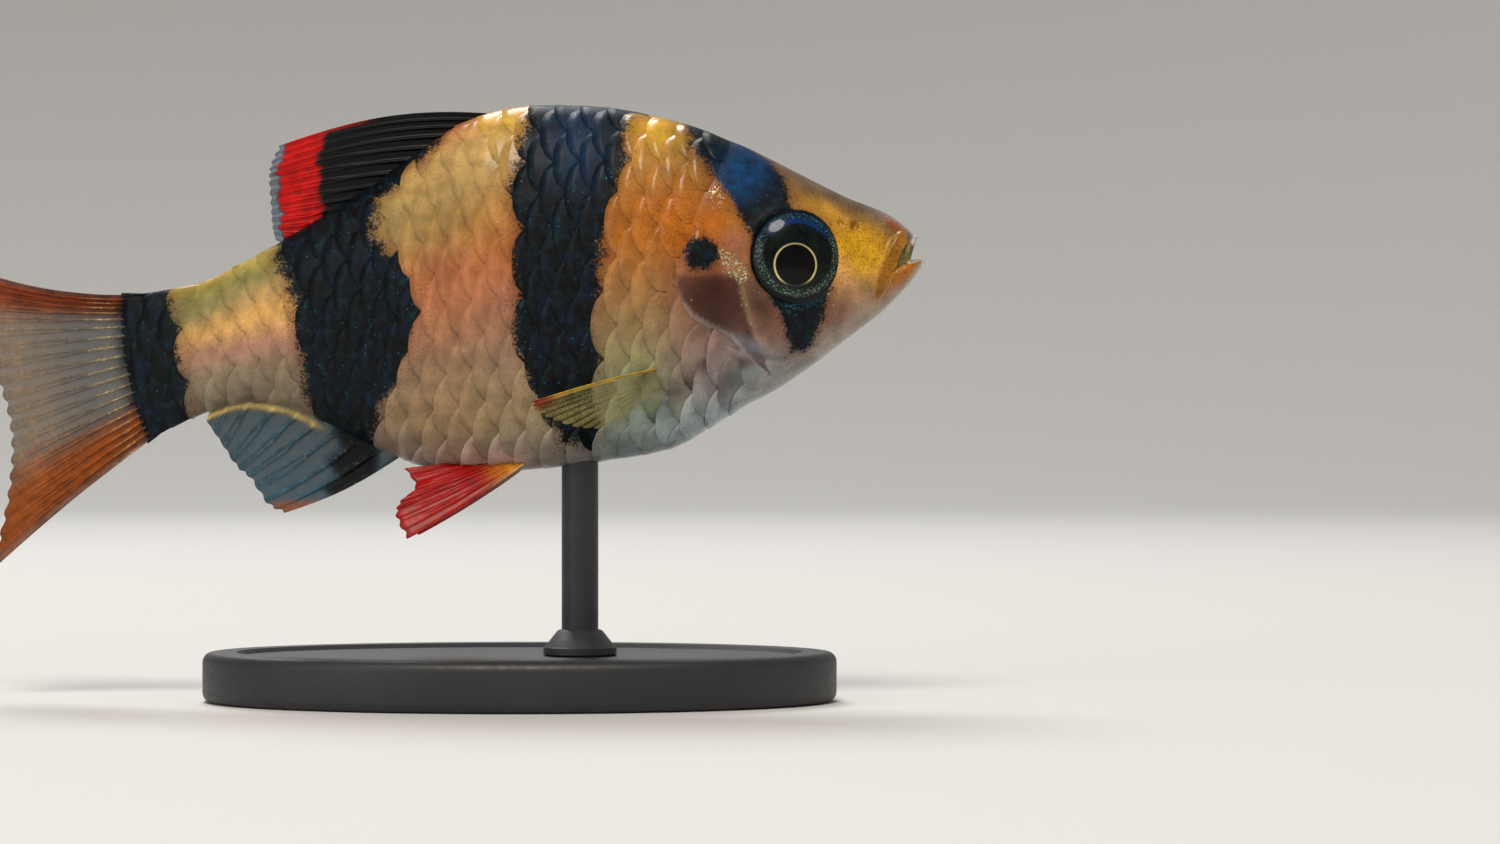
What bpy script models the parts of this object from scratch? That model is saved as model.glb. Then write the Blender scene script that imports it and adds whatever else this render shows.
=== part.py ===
"""A life-size tiger barb, swimming with its mouth open and its back fin lowered, on a plain display stand.

Metres, +Z up. The snout points to +X and the fish's left side is +Y. The origin is the middle of the stand's
underside. The body is one loft, parted into head, jaw, trunk and tail stalk by thin cuts. Each fin is a thin
fan with its rays raised on both faces, trimmed to the skin it grows from.
"""

from math import cos, pi, radians, sin

import bmesh
import bpy
import numpy as np
from mathutils import Matrix, Vector

MM = 0.001
GAP = 0.3 * MM  # left between pieces that touch

# Stations along the body, tail to snout, in millimetres: back point (x, z), belly point (x, z), half width.
STATIONS = (
    (-23.35, 24.55, -21.70, 16.05, 0.70),  # tail fin's root
    (-22.20, 24.66, -20.50, 16.60, 1.00),
    (-19.20, 25.24, -18.60, 17.36, 1.45),  # end of the anal fin's base
    (-16.80, 26.34, -16.20, 17.85, 1.80),
    (-14.70, 27.45, -14.10, 17.68, 2.15),  # end of the back fin's base
    (-12.60, 28.72, -12.30, 17.02, 2.50),
    (-10.50, 29.96, -10.50, 16.10, 2.85),
    (-8.10, 31.58, -8.20, 15.00, 3.30),
    (-6.00, 33.08, -6.30, 14.20, 3.65),  # vent
    (-3.90, 34.52, -4.20, 13.85, 3.95),
    (-1.80, 35.36, -1.80, 13.80, 4.25),  # start of the back fin's base
    (0.60, 35.78, 0.60, 13.85, 4.45),
    (3.00, 35.80, 3.00, 14.08, 4.50),
    (5.40, 35.66, 5.40, 14.42, 4.50),
    (7.80, 35.24, 7.50, 14.74, 4.40),
    (10.20, 34.62, 9.60, 15.30, 4.25),  # behind the gill cover
    (12.30, 33.80, 11.52, 16.42, 4.00),
    (14.40, 32.84, 13.50, 17.66, 3.62),
    (16.38, 31.84, 15.60, 18.82, 3.20),  # eye
    (18.30, 30.86, 17.52, 20.12, 2.78),
    (19.80, 30.14, 19.08, 21.32, 2.40),
    (21.00, 29.69, 20.40, 22.32, 2.08),  # nostrils
    (22.08, 29.22, 21.72, 23.32, 1.80),
    (22.80, 28.76, 22.80, 24.30, 1.56),
    (23.28, 28.40, 23.52, 25.08, 1.34),
    (23.62, 28.00, 24.00, 25.74, 1.05),  # lips
)
BODY_RINGS = 62
RING_POINTS = 32
HEAD_FROM = 15.0  # station where the head's closer rings begin
BACK_PINCH = 1.12  # exponent over 1 narrows the ridge of the back
BELLY_PINCH = 0.94
WIDEST = 1.08  # exponent over 1 lowers the widest level

BEND_FROM = -8.0 * MM
BEND = 6.0  # sideways sweep of the tail, in metres for each square metre behind BEND_FROM

EYE_CENTRE = (16.45 * MM, 26.75 * MM)
EYE_RADII = (2.68 * MM, 1.35 * MM, 2.76 * MM)
EYE_SINK = 0.72 * MM  # depth of the eye's centre under the skin
EYE_TURN = radians(12)  # forward turn of the eye's axis

MOUTH_CENTRE = (24.00 * MM, 27.00 * MM)
MOUTH_RADII = (1.75 * MM, 3.00 * MM, 0.68 * MM)
MOUTH_TILT = radians(-30)  # the open mouth runs up and forward from its corners
LIP_RADIUS = 0.27 * MM
UPPER_LIP = ((23.60, 27.74), (22.50, 26.09))  # foremost point and corner (x, z), in millimetres
LOWER_LIP = ((23.95, 26.12), (22.45, 25.87))
LIP_SPREAD = 1.33 * MM  # from the middle of the mouth out to each corner
JAW_BONE_RADIUS = 0.33 * MM
JAW_BONE = ((23.1, 27.4), (22.5, 26.6), (21.95, 25.7), (21.5, 24.85))  # strip beside the mouth (x, z)
NOSTRILS = ((20.45 * MM, 28.72 * MM, 0.36 * MM), (19.70 * MM, 28.80 * MM, 0.46 * MM))

# Thin cuts, as polylines (x, z) in millimetres, from one outline of the body to the other.
JAW_CUT = (
    (25.2, 26.72), (23.1, 26.15), (22.26, 25.72), (21.6, 24.86), (21.06, 23.9), (20.7, 23.0), (20.3, 21.0)
)
GILL_CUT = (
    (12.6, 35.2), (11.5, 32.5), (10.8, 29.8), (10.2, 27.7), (9.66, 26.0), (9.6, 24.7), (10.1, 23.3),
    (11.2, 22.3), (13.1, 21.3), (14.5, 20.0), (15.4, 18.6), (15.8, 17.2)
)
TAIL_CUT = ((-18.2, 26.9), (-19.5, 16.6))

GILL_COVER_CENTRE = (11.6 * MM, 24.9 * MM)
GILL_COVER_RADII = (1.9 * MM, 3.6 * MM)
GILL_COVER_TILT = radians(20)
GILL_COVER_DEPTH = 0.85 * MM
GILL_COVER_RISE = 0.12 * MM  # how far the cover stands proud of the flank

MEMBRANE = 0.50 * MM
RAY = 0.26 * MM  # height of a ray's ridge over each face of the membrane
TIP_SHARE = 0.62  # thickness at a fin's margin, as a share of that at its root
FIN_ROWS = 6
SCALLOP = 0.012  # how far the margin steps back between two rays, as a share of the ray

# Each fin's rays run from a curve of roots to a curve of tips (x, y, z), first ray to last. Arch lifts the
# middle of the rays and bow moves it sideways, all in millimetres. Swell is the share of thickness at the root.
FINS = {
    "dorsal_fin": {
        "finish": "back_fin",
        "rays": 12,
        "roots": ((-0.9, 0, 35.36), (-3.0, 0, 34.4), (-5.4, 0, 32.8), (-7.8, 0, 31.0), (-10.2, 0, 29.4),
                  (-13.7, 0, 27.3)),
        "tips": ((-14.5, 0, 33.35), (-15.0, 0, 32.2), (-15.1, 0, 31.2), (-15.0, 0, 29.8), (-14.9, 0, 28.6),
                 (-14.7, 0, 27.7)),
        "arch": (0.87, 0.35, 0.0, 0.0),
        "bow": 0.0,
        "swell": 1.3,
    },
    "anal_fin": {
        "finish": "clear_fin",
        "rays": 9,
        "roots": ((-6.7, 0, 15.0), (-9.0, 0, 15.9), (-11.1, 0, 17.0), (-13.2, 0, 18.1), (-16.2, 0, 18.6),
                  (-18.5, 0, 18.0)),
        "tips": ((-14.16, 0, 11.3), (-15.2, 0, 11.85), (-16.2, 0, 13.3), (-17.1, 0, 14.1), (-18.0, 0, 15.5),
                 (-18.9, 0, 16.8)),
        "arch": (-0.4, -0.1, 0.0),
        "bow": 0.0,
        "swell": 1.3,
    },
    "caudal_fin": {
        "finish": "orange_fin",
        "rays": 18,
        "roots": ((-21.9, 0, 24.7), (-22.1, 0, 23.0), (-21.9, 0, 20.6), (-21.4, 0, 18.4), (-20.7, 0, 16.1)),
        "tips": ((-35.7, 0, 26.8), (-34.6, 0, 24.0), (-32.4, 0, 20.2), (-31.2, 0, 16.4), (-31.3, 0, 12.4),
                 (-32.4, 0, 7.7)),
        "arch": (-0.75, 0.0, 0.0, 0.25),
        "bow": 0.0,
        "swell": 1.7,
    },
    "pelvic_fin": {
        "finish": "red_fin",
        "rays": 8,
        "roots": ((0.45, 1.7, 14.3), (-0.6, 1.1, 14.4), (-1.8, 0.5, 14.5)),
        "tips": ((-6.45, 4.2, 9.86), (-7.15, 3.7, 11.2), (-6.9, 3.2, 12.1), (-6.1, 2.6, 12.9),
                 (-6.8, 1.7, 14.0)),
        "arch": (-0.2, 0.0, 0.0),
        "bow": 0.2,
        "swell": 1.2,
    },
    "pectoral_fin": {
        "finish": "clear_fin",
        "rays": 11,
        "roots": ((9.5, 3.3, 20.2), (9.4, 3.2, 19.7), (9.1, 3.0, 19.3)),
        "tips": ((1.0, 5.9, 17.95), (1.2, 5.8, 17.4), (2.2, 5.6, 16.9), (3.6, 5.3, 16.45), (5.1, 4.9, 16.4),
                 (6.3, 4.5, 16.9)),
        "arch": (0.15, 0.0),
        "bow": 0.35,
        "swell": 1.0,
    },
}
PAIRED_FINS = ("pelvic_fin", "pectoral_fin")  # given for the left side and mirrored to the right

BASE_SIZE = (38.0 * MM, 23.0 * MM, 3.0 * MM)
BASE_EDGE = 0.6 * MM
ROD_RADIUS = 1.1 * MM
ROD_X = 3.6 * MM
ROD_TOP = 17.5 * MM  # inside the belly, before the rod is trimmed to it
ROD_SIDES = 24
COLLAR_RADIUS = 2.2 * MM
COLLAR_RIM = 0.5 * MM
COLLAR_HEIGHT = 1.6 * MM

COLOURS = {  # red, green and blue of the base colour, roughness, metallic
    "head": ((0.62, 0.42, 0.12), 0.42, 0.0),
    "flank": ((0.66, 0.50, 0.34), 0.40, 0.0),
    "gill": ((0.55, 0.36, 0.28), 0.35, 0.0),
    "tail": ((0.60, 0.47, 0.30), 0.40, 0.0),
    "red_fin": ((0.75, 0.04, 0.02), 0.45, 0.0),
    "back_fin": ((0.10, 0.03, 0.03), 0.45, 0.0),
    "orange_fin": ((0.62, 0.30, 0.10), 0.45, 0.0),
    "clear_fin": ((0.45, 0.55, 0.58), 0.40, 0.0),
    "eye": ((0.02, 0.03, 0.03), 0.12, 0.0),
    "stand": ((0.05, 0.05, 0.055), 0.45, 0.0),
}


def clear_scene():
    for old in list(bpy.data.objects):
        bpy.data.objects.remove(old)


def collection(name):
    made = bpy.data.collections.new(name)
    bpy.context.scene.collection.children.link(made)
    return made


def material(name):
    colour, roughness, metallic = COLOURS[name]
    made = bpy.data.materials.get(name) or bpy.data.materials.new(name)
    made.use_nodes = True
    shader = made.node_tree.nodes["Principled BSDF"]
    shader.inputs["Base Color"].default_value = (*colour, 1.0)
    shader.inputs["Roughness"].default_value = roughness
    shader.inputs["Metallic"].default_value = metallic
    return made


def smooth(values, at):
    """Catmull-Rom curve through the rows of values, read at positions counted in rows."""
    rows = np.asarray(values, float)
    at = np.clip(np.atleast_1d(np.asarray(at, float)), 0, len(rows) - 1)
    padded = np.vstack([2 * rows[0] - rows[1], rows, 2 * rows[-1] - rows[-2]])
    first = np.minimum(at.astype(int), len(rows) - 2)
    t = (at - first)[:, None]
    a, b, c, d = (padded[first + k] for k in range(4))
    return 0.5 * (2 * b + (c - a) * t + (2 * a - 5 * b + 4 * c - d) * t**2 + (3 * b - a - 3 * c + d) * t**3)


def swim(points):
    """The points with the tail swept to the fish's left."""
    bent = np.array(points, float)
    behind = np.clip(BEND_FROM - bent[..., 0], 0, None)
    bent[..., 1] += BEND * behind**2
    return bent


def body_ring(station):
    """One closed cross-section of the body at a station, before the swimming bend."""
    back_x, back_z, belly_x, belly_z, half = smooth(STATIONS, station)[0] * MM
    angle = np.arange(RING_POINTS) * 2 * pi / RING_POINTS
    rise = ((1 + np.sin(angle)) / 2) ** WIDEST
    side = np.cos(angle)
    pinch = np.where(np.sin(angle) > 0, BACK_PINCH, BELLY_PINCH)
    return np.stack(
        [
            belly_x + (back_x - belly_x) * rise,
            half * np.sign(side) * np.abs(side) ** pinch,
            belly_z + (back_z - belly_z) * rise,
        ],
        axis=1,
    )


def half_width_at(x, z):
    """Half the body's width where the side view has the point (x, z)."""
    best = min(np.linspace(0, len(STATIONS) - 1, 400), key=lambda s: abs(middle_x(s, z) - x))
    back_x, back_z, belly_x, belly_z, half = smooth(STATIONS, best)[0] * MM
    rise = min(max((z - belly_z) / (back_z - belly_z), 0.0), 1.0) ** (1 / WIDEST)
    level = 2 * rise - 1
    pinch = BACK_PINCH if level > 0 else BELLY_PINCH
    return half * (1 - level * level) ** (pinch / 2)


def middle_x(station, z):
    back_x, back_z, belly_x, belly_z, _ = smooth(STATIONS, station)[0] * MM
    return belly_x + (back_x - belly_x) * (z - belly_z) / (back_z - belly_z)


def object_of(mesh_data, name, into):
    made = bpy.data.objects.new(name, mesh_data)
    into.objects.link(made)
    return made


def loft(rings, name, into):
    """A closed skin over rings of equal length, with a flat cap at each end."""
    bm = bmesh.new()
    loops = [[bm.verts.new(point) for point in ring] for ring in rings]
    count = len(loops[0])
    for near, far in zip(loops, loops[1:]):
        for k in range(count):
            after = (k + 1) % count
            bm.faces.new((near[k], near[after], far[after], far[k]))
    for loop in (loops[0], loops[-1]):
        centre = bm.verts.new(sum((v.co for v in loop), Vector()) / count)
        for k in range(count):
            bm.faces.new((centre, loop[k], loop[(k + 1) % count]))
    bmesh.ops.recalc_face_normals(bm, faces=bm.faces)
    return mesh_object(bm, name, into)


def mesh_object(bm, name, into):
    data = bpy.data.meshes.new(name)
    bm.to_mesh(data)
    bm.free()
    return object_of(data, name, into)


def grown(source, by, name, into):
    """A copy of a closed object with its surface moved outwards."""
    bm = bmesh.new()
    bm.from_mesh(source.data)
    bm.normal_update()
    moves = [(vertex, vertex.normal.copy()) for vertex in bm.verts]
    for vertex, normal in moves:
        vertex.co += normal * by
    return mesh_object(bm, name, into)


def ellipsoid(name, centre, radii, into, turn=0.0, tilt=0.0, segments=24, rings=12):
    """A sphere scaled to three radii, tilted about the crosswise axis and turned about the vertical."""
    bpy.ops.mesh.primitive_uv_sphere_add(segments=segments, ring_count=rings, radius=1.0)
    made = bpy.context.object
    upright = Matrix.Rotation(pi / 2, 4, "X")
    aim = Matrix.Rotation(turn, 4, "Z") @ Matrix.Rotation(tilt, 4, "Y")
    made.data.transform(Matrix.Translation(centre) @ aim @ Matrix.Diagonal((*radii, 1.0)) @ upright)
    made.name = name
    move_to(made, into)
    return made


def move_to(made, into):
    for holder in list(made.users_collection):
        holder.objects.unlink(made)
    into.objects.link(made)


def blade(line, name, into):
    """A wall as thick as the gap, standing on a polyline of the side view and crossing the whole body."""
    reach = 12 * MM
    points = [Vector((x * MM, z * MM)) for x, z in line]
    normals = []
    for k in range(len(points)):
        along = points[min(k + 1, len(points) - 1)] - points[max(k - 1, 0)]
        normals.append(Vector((-along.y, along.x)).normalized() * GAP / 2)
    rings = []
    for point, normal in zip(points, normals):
        near, far = point - normal, point + normal
        corners = ((near, -reach), (near, reach), (far, reach), (far, -reach))
        rings.append([(corner.x, y, corner.y) for corner, y in corners])
    made = loft(rings, name, into)
    as_cutter(made)
    return made


def as_cutter(made):
    made.hide_render = True
    made.display_type = "WIRE"


def combine(target, others, operation, solver="EXACT"):
    """Applies one Boolean of target with a list of closed mesh objects, and removes them."""
    group = bpy.data.collections.new("operands")
    for other in others:
        group.objects.link(other)
    modifier = target.modifiers.new(operation.lower(), "BOOLEAN")
    modifier.operation = operation
    modifier.operand_type = "COLLECTION"
    modifier.collection = group
    modifier.solver = solver
    apply_modifiers(target)
    for other in list(group.objects):
        bpy.data.objects.remove(other)
    bpy.data.collections.remove(group)
    return target


def apply_modifiers(target):
    bpy.context.view_layer.update()
    graph = bpy.context.evaluated_depsgraph_get()
    baked = bpy.data.meshes.new_from_object(target.evaluated_get(graph))
    target.modifiers.clear()
    target.data = baked


def copy_of(source, name, into):
    made = object_of(source.data.copy(), name, into)
    made.matrix_world = source.matrix_world
    return made


def islands(bm):
    """The mesh's separate closed surfaces, as lists of vertices."""
    left, found = set(bm.verts), []
    while left:
        stack, piece = [left.pop()], []
        while stack:
            vertex = stack.pop()
            piece.append(vertex)
            for edge in vertex.link_edges:
                other = edge.other_vert(vertex)
                if other in left:
                    left.remove(other)
                    stack.append(other)
        found.append(piece)
    return found


def keep_islands(source, count, names, into):
    """The source's largest surfaces as objects, ordered from tail to snout and named in that order."""
    bm = bmesh.new()
    bm.from_mesh(source.data)
    sizes = sorted(islands(bm), key=len, reverse=True)[:count]
    sizes.sort(key=lambda piece: sum(v.co.x for v in piece) / len(piece))
    places = [{tuple(v.co) for v in piece} for piece in sizes]
    bm.free()
    made = []
    for place, name in zip(places, names):
        bm = bmesh.new()
        bm.from_mesh(source.data)
        bmesh.ops.delete(bm, geom=[v for v in bm.verts if tuple(v.co) not in place], context="VERTS")
        made.append(mesh_object(bm, name, into))
    bpy.data.objects.remove(source)
    return made


def largest(target):
    """Drops every scrap but the largest surface."""
    bm = bmesh.new()
    bm.from_mesh(target.data)
    pieces = sorted(islands(bm), key=len, reverse=True)
    bmesh.ops.delete(bm, geom=[v for piece in pieces[1:] for v in piece], context="VERTS")
    bm.to_mesh(target.data)
    bm.free()
    return target


def tube(path, radius, name, into):
    """A round bar along a path, tapered at its ends, as a closed mesh."""
    data = bpy.data.curves.new(name, "CURVE")
    data.dimensions = "3D"
    data.bevel_depth = radius
    data.bevel_resolution = 2
    data.use_fill_caps = True
    spline = data.splines.new("POLY")
    spline.points.add(len(path) - 1)
    for k, (point, place) in enumerate(zip(spline.points, path)):
        point.co = (*place, 1.0)
        point.radius = 0.55 if k in (0, len(path) - 1) else 1.0
    curve = object_of(data, name, into)
    bpy.context.view_layer.update()
    graph = bpy.context.evaluated_depsgraph_get()
    mesh = bpy.data.meshes.new_from_object(curve.evaluated_get(graph))
    bpy.data.objects.remove(curve)
    bm = bmesh.new()
    bm.from_mesh(mesh)
    bmesh.ops.remove_doubles(bm, verts=bm.verts, dist=0.001 * MM)
    bmesh.ops.recalc_face_normals(bm, faces=bm.faces)
    return mesh_object(bm, name, into)


def mirror_y(points):
    flipped = np.array(points, float)
    flipped[..., 1] *= -1
    return flipped


def fan(name, fin, into, mirrored=False):
    """A fin of FINS: a membrane between two curves, with its rays standing as ridges on both faces."""
    steps = (fin["rays"] - 1) * 3
    across = np.linspace(0, 1, steps + 1)
    root = smooth(fin["roots"], across * (len(fin["roots"]) - 1)) * MM
    tip = smooth(fin["tips"], across * (len(fin["tips"]) - 1)) * MM
    arch = smooth([(lift,) for lift in fin["arch"]], across * (len(fin["arch"]) - 1))[:, 0]
    on_ray = (np.arange(steps + 1) % 3 == 0).astype(float)
    length = 1 - SCALLOP * (1 - on_ray)
    rows = np.linspace(0, 1, FIN_ROWS + 1)
    middle = root[None] + (tip - root)[None] * (rows[:, None] * length[None])[..., None]
    middle[..., 1] += fin["bow"] * MM * np.sin(pi * rows)[:, None]
    middle[..., 2] += arch[None] * MM * np.sin(pi * rows)[:, None]
    if mirrored:
        middle = mirror_y(middle)
    middle = swim(middle)
    along = np.gradient(middle, axis=0)
    beside = np.gradient(middle, axis=1)
    normal = np.cross(along, beside)
    normal /= np.linalg.norm(normal, axis=2, keepdims=True)
    taper = fin["swell"] + (TIP_SHARE - fin["swell"]) * rows
    half = (MEMBRANE / 2 + RAY * on_ray[None]) * taper[:, None]
    return sheet(middle + normal * half[..., None], middle - normal * half[..., None], name, into)


def sheet(front, back, name, into):
    """A closed sheet between two grids of points, split into triangles alike on both faces."""
    bm = bmesh.new()
    rows, columns = front.shape[:2]
    sides = [[[bm.verts.new(p) for p in row] for row in grid] for grid in (front, back)]
    for r in range(rows - 1):
        for c in range(columns - 1):
            for side in sides:
                a, b, d, e = side[r][c], side[r][c + 1], side[r + 1][c + 1], side[r + 1][c]
                bm.faces.new((a, b, d))
                bm.faces.new((a, d, e))
    rim = [(0, c) for c in range(columns)] + [(r, columns - 1) for r in range(1, rows)]
    rim += [(rows - 1, c) for c in range(columns - 2, -1, -1)] + [(r, 0) for r in range(rows - 2, 0, -1)]
    for (r, c), (s, d) in zip(rim, rim[1:] + rim[:1]):
        one, two = sides
        bm.faces.new((one[r][c], one[s][d], two[s][d]))
        bm.faces.new((one[r][c], two[s][d], two[r][c]))
    bmesh.ops.recalc_face_normals(bm, faces=bm.faces)
    return mesh_object(bm, name, into)


def make_body(into):
    """The whole body, from the tail fin's root to the lips, as one loft."""
    head_rings = BODY_RINGS // 2
    behind = np.linspace(0, HEAD_FROM, BODY_RINGS - head_rings, endpoint=False)
    ahead = np.linspace(HEAD_FROM, len(STATIONS) - 1, head_rings)
    return loft([swim(body_ring(s)) for s in (*behind, *ahead)], "whole", into)


def lip_path(tip, corner):
    """Centre line of one lip, an arc from the mouth's right corner round its tip to the left corner."""
    path = []
    for k in range(13):
        turn = radians(-90 + 15 * k)
        back = 1 - cos(turn)
        x, z = (near + (far - near) * back for near, far in zip(tip, corner))
        path.append((x * MM, LIP_SPREAD * sin(turn), z * MM))
    return path


def jaw_bone_path(side):
    """Centre line of the strip of bone that runs from the upper lip down beside the mouth."""
    return [(x * MM, side * half_width_at(x * MM, z * MM), z * MM) for x, z in JAW_BONE]


def make_eyes(head, fish, cutters):
    """Cuts the sockets from the head and sets an eye in each."""
    for name, side in (("eye_left", 1), ("eye_right", -1)):
        x, z = EYE_CENTRE
        place = (x, side * (half_width_at(x, z) - EYE_SINK), z)
        turn = -side * EYE_TURN
        socket = ellipsoid("socket", place, [r + GAP for r in EYE_RADII], cutters, turn)
        combine(head, [socket], "DIFFERENCE")
        dress(ellipsoid(name, place, EYE_RADII, fish, turn), "eye")


def cut_nostrils(head, cutters):
    pits = []
    for side in (1, -1):
        for x, z, radius in NOSTRILS:
            place = (x, side * (half_width_at(x, z) + 0.06 * MM), z)
            pits.append(ellipsoid("pit", place, (radius, radius, radius), cutters, segments=10, rings=6))
    combine(head, pits, "DIFFERENCE")


def cover_prism(name, side, grow, depth, into):
    """A leaning oval column that takes in one gill cover, from a given depth outwards."""
    x, z = GILL_COVER_CENTRE
    points = 32
    inner = half_width_at(x, z) - depth
    rings = []
    for y in (inner, 8 * MM):
        ring = []
        for k in range(points):
            turn = 2 * pi * k / points
            a = (GILL_COVER_RADII[0] + grow) * cos(turn)
            b = (GILL_COVER_RADII[1] + grow) * sin(turn)
            ring.append(
                (
                    x + a * cos(GILL_COVER_TILT) - b * sin(GILL_COVER_TILT),
                    side * y,
                    z + a * sin(GILL_COVER_TILT) + b * cos(GILL_COVER_TILT),
                )
            )
        rings.append(ring)
    return loft(rings, name, into)


def make_gill_covers(head, fish, cutters):
    """Takes each gill cover out of the head as a plate of its own."""
    for name, side in (("gill_cover_left", 1), ("gill_cover_right", -1)):
        plate = copy_of(head, name, fish)
        column = cover_prism("cover", side, 0.0, GILL_COVER_DEPTH, cutters)
        recess = cover_prism("recess", side, GAP, GILL_COVER_DEPTH + GAP, cutters)
        combine(plate, [column], "INTERSECT", "MANIFOLD")  # EXACT loses the head here
        combine(head, [recess], "DIFFERENCE", "MANIFOLD")
        largest(plate)
        largest(head)
        plate.data.transform(Matrix.Translation((0, side * GILL_COVER_RISE, 0)))
        dress(plate, "gill")


def dress(made, finish):
    made.data.materials.clear()
    made.data.materials.append(material(finish))
    made.data.shade_smooth()
    made.data.set_sharp_from_angle(angle=radians(40))


def trim(fin, skin, cutters):
    """Cuts from a fin whatever lies in the body, or nearer to it than the gap."""
    combine(fin, [copy_of(skin, "trim", cutters)], "DIFFERENCE", "MANIFOLD")  # EXACT loses the narrow fans
    return largest(fin)


def make_fins(skin, fish, cutters):
    """Every fin of FINS, with the paired ones on both sides, trimmed to the skin."""
    for name, fin in FINS.items():
        if name in PAIRED_FINS:
            made = [fan(f"{name}_left", fin, fish), fan(f"{name}_right", fin, fish, mirrored=True)]
        else:
            made = [fan(name, fin, fish)]
        for each in made:
            dress(trim(each, skin, cutters), fin["finish"])


def make_base(fish):
    """The stand's flat oval foot, with its edges eased."""
    bpy.ops.mesh.primitive_cylinder_add(vertices=56, radius=0.5, depth=1.0)
    base = bpy.context.object
    base.data.transform(Matrix.Translation((0, 0, BASE_SIZE[2] / 2)) @ Matrix.Diagonal((*BASE_SIZE, 1.0)))
    base.name = "stand_base"
    edge = base.modifiers.new("edge", "BEVEL")
    edge.width = BASE_EDGE
    edge.segments = 1
    move_to(base, fish)
    apply_modifiers(base)
    dress(base, "stand")


def make_rod(skin, fish, cutters):
    """One short rod with a collar at its foot, shaped to the belly at its top."""
    foot = BASE_SIZE[2] + GAP
    outline = (
        (COLLAR_RADIUS, foot),
        (COLLAR_RADIUS, foot + COLLAR_RIM),
        (ROD_RADIUS, foot + COLLAR_HEIGHT),
        (ROD_RADIUS, ROD_TOP),
    )
    turns = [2 * pi * k / ROD_SIDES for k in range(ROD_SIDES)]
    rings = [[(ROD_X + radius * cos(t), radius * sin(t), z) for t in turns] for radius, z in outline]
    dress(trim(loft(rings, "stand_rod", fish), skin, cutters), "stand")


def part_body(whole, fish, cutters):
    """Opens the mouth and cuts the body into tail stalk, trunk, head and lower jaw."""
    centre = (MOUTH_CENTRE[0], 0, MOUTH_CENTRE[1])
    mouth = ellipsoid("mouth", centre, MOUTH_RADII, cutters, tilt=MOUTH_TILT, segments=32, rings=20)
    combine(whole, [mouth], "DIFFERENCE")
    for name, line in (("jaw_cut", JAW_CUT), ("gill_cut", GILL_CUT), ("tail_cut", TAIL_CUT)):
        combine(whole, [blade(line, name, cutters)], "DIFFERENCE")
    return keep_islands(whole, 4, ("tail_stalk", "trunk", "head", "lower_jaw"), fish)


def add_lips(head, jaw, cutters):
    """Joins the lips to head and jaw, and the strips of bone beside the mouth to the head."""
    bones = [tube(jaw_bone_path(side), JAW_BONE_RADIUS, "bone", cutters) for side in (1, -1)]
    combine(head, [tube(lip_path(*UPPER_LIP), LIP_RADIUS, "lip", cutters), *bones], "UNION")
    combine(jaw, [tube(lip_path(*LOWER_LIP), LIP_RADIUS, "lip", cutters)], "UNION")


def main():
    clear_scene()
    fish = collection("tiger_barb")
    cutters = collection("cutters")
    whole = make_body(fish)
    skin = grown(whole, GAP, "skin", cutters)
    as_cutter(skin)
    make_fins(skin, fish, cutters)
    make_base(fish)
    make_rod(skin, fish, cutters)
    bpy.data.objects.remove(skin)
    stalk, trunk, head, jaw = part_body(whole, fish, cutters)
    add_lips(head, jaw, cutters)
    make_eyes(head, fish, cutters)
    cut_nostrils(head, cutters)
    make_gill_covers(head, fish, cutters)
    for piece, finish in ((stalk, "tail"), (trunk, "flank"), (head, "head"), (jaw, "head")):
        dress(largest(piece), finish)


main()
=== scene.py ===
"""The looks of a life-size tiger barb on a display stand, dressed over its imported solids.

Sizes are millimetres in the code and metres in the meshes. The snout points to +X, the fish's left side is +Y,
and the photo looks along +Y at its right side.
"""

import logging
from dataclasses import dataclass
from enum import Enum
from functools import partial
from math import pi, radians
from typing import Any, Sequence

import bpy
import numpy as np
from mathutils import Matrix, Vector

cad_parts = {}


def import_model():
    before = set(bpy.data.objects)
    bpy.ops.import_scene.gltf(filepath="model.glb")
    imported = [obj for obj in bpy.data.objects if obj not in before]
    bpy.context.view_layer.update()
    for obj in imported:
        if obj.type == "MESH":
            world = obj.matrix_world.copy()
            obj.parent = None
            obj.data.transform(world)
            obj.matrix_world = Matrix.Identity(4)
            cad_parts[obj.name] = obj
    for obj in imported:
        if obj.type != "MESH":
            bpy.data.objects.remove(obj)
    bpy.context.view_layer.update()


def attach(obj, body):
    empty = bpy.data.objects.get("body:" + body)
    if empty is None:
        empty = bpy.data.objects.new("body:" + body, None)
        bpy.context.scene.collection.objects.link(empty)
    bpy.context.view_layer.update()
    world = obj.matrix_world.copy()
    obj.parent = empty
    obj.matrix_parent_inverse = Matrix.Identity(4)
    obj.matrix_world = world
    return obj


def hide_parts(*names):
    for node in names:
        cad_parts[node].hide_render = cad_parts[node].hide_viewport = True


LOG = logging.getLogger("tiger_barb")
MM = 0.001
SMOOTH = {"interpolation_type": "SMOOTHSTEP"}
COLOUR = {"data_type": "RGBA"}

Array = np.ndarray
Line = Sequence[Sequence[float]]

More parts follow.
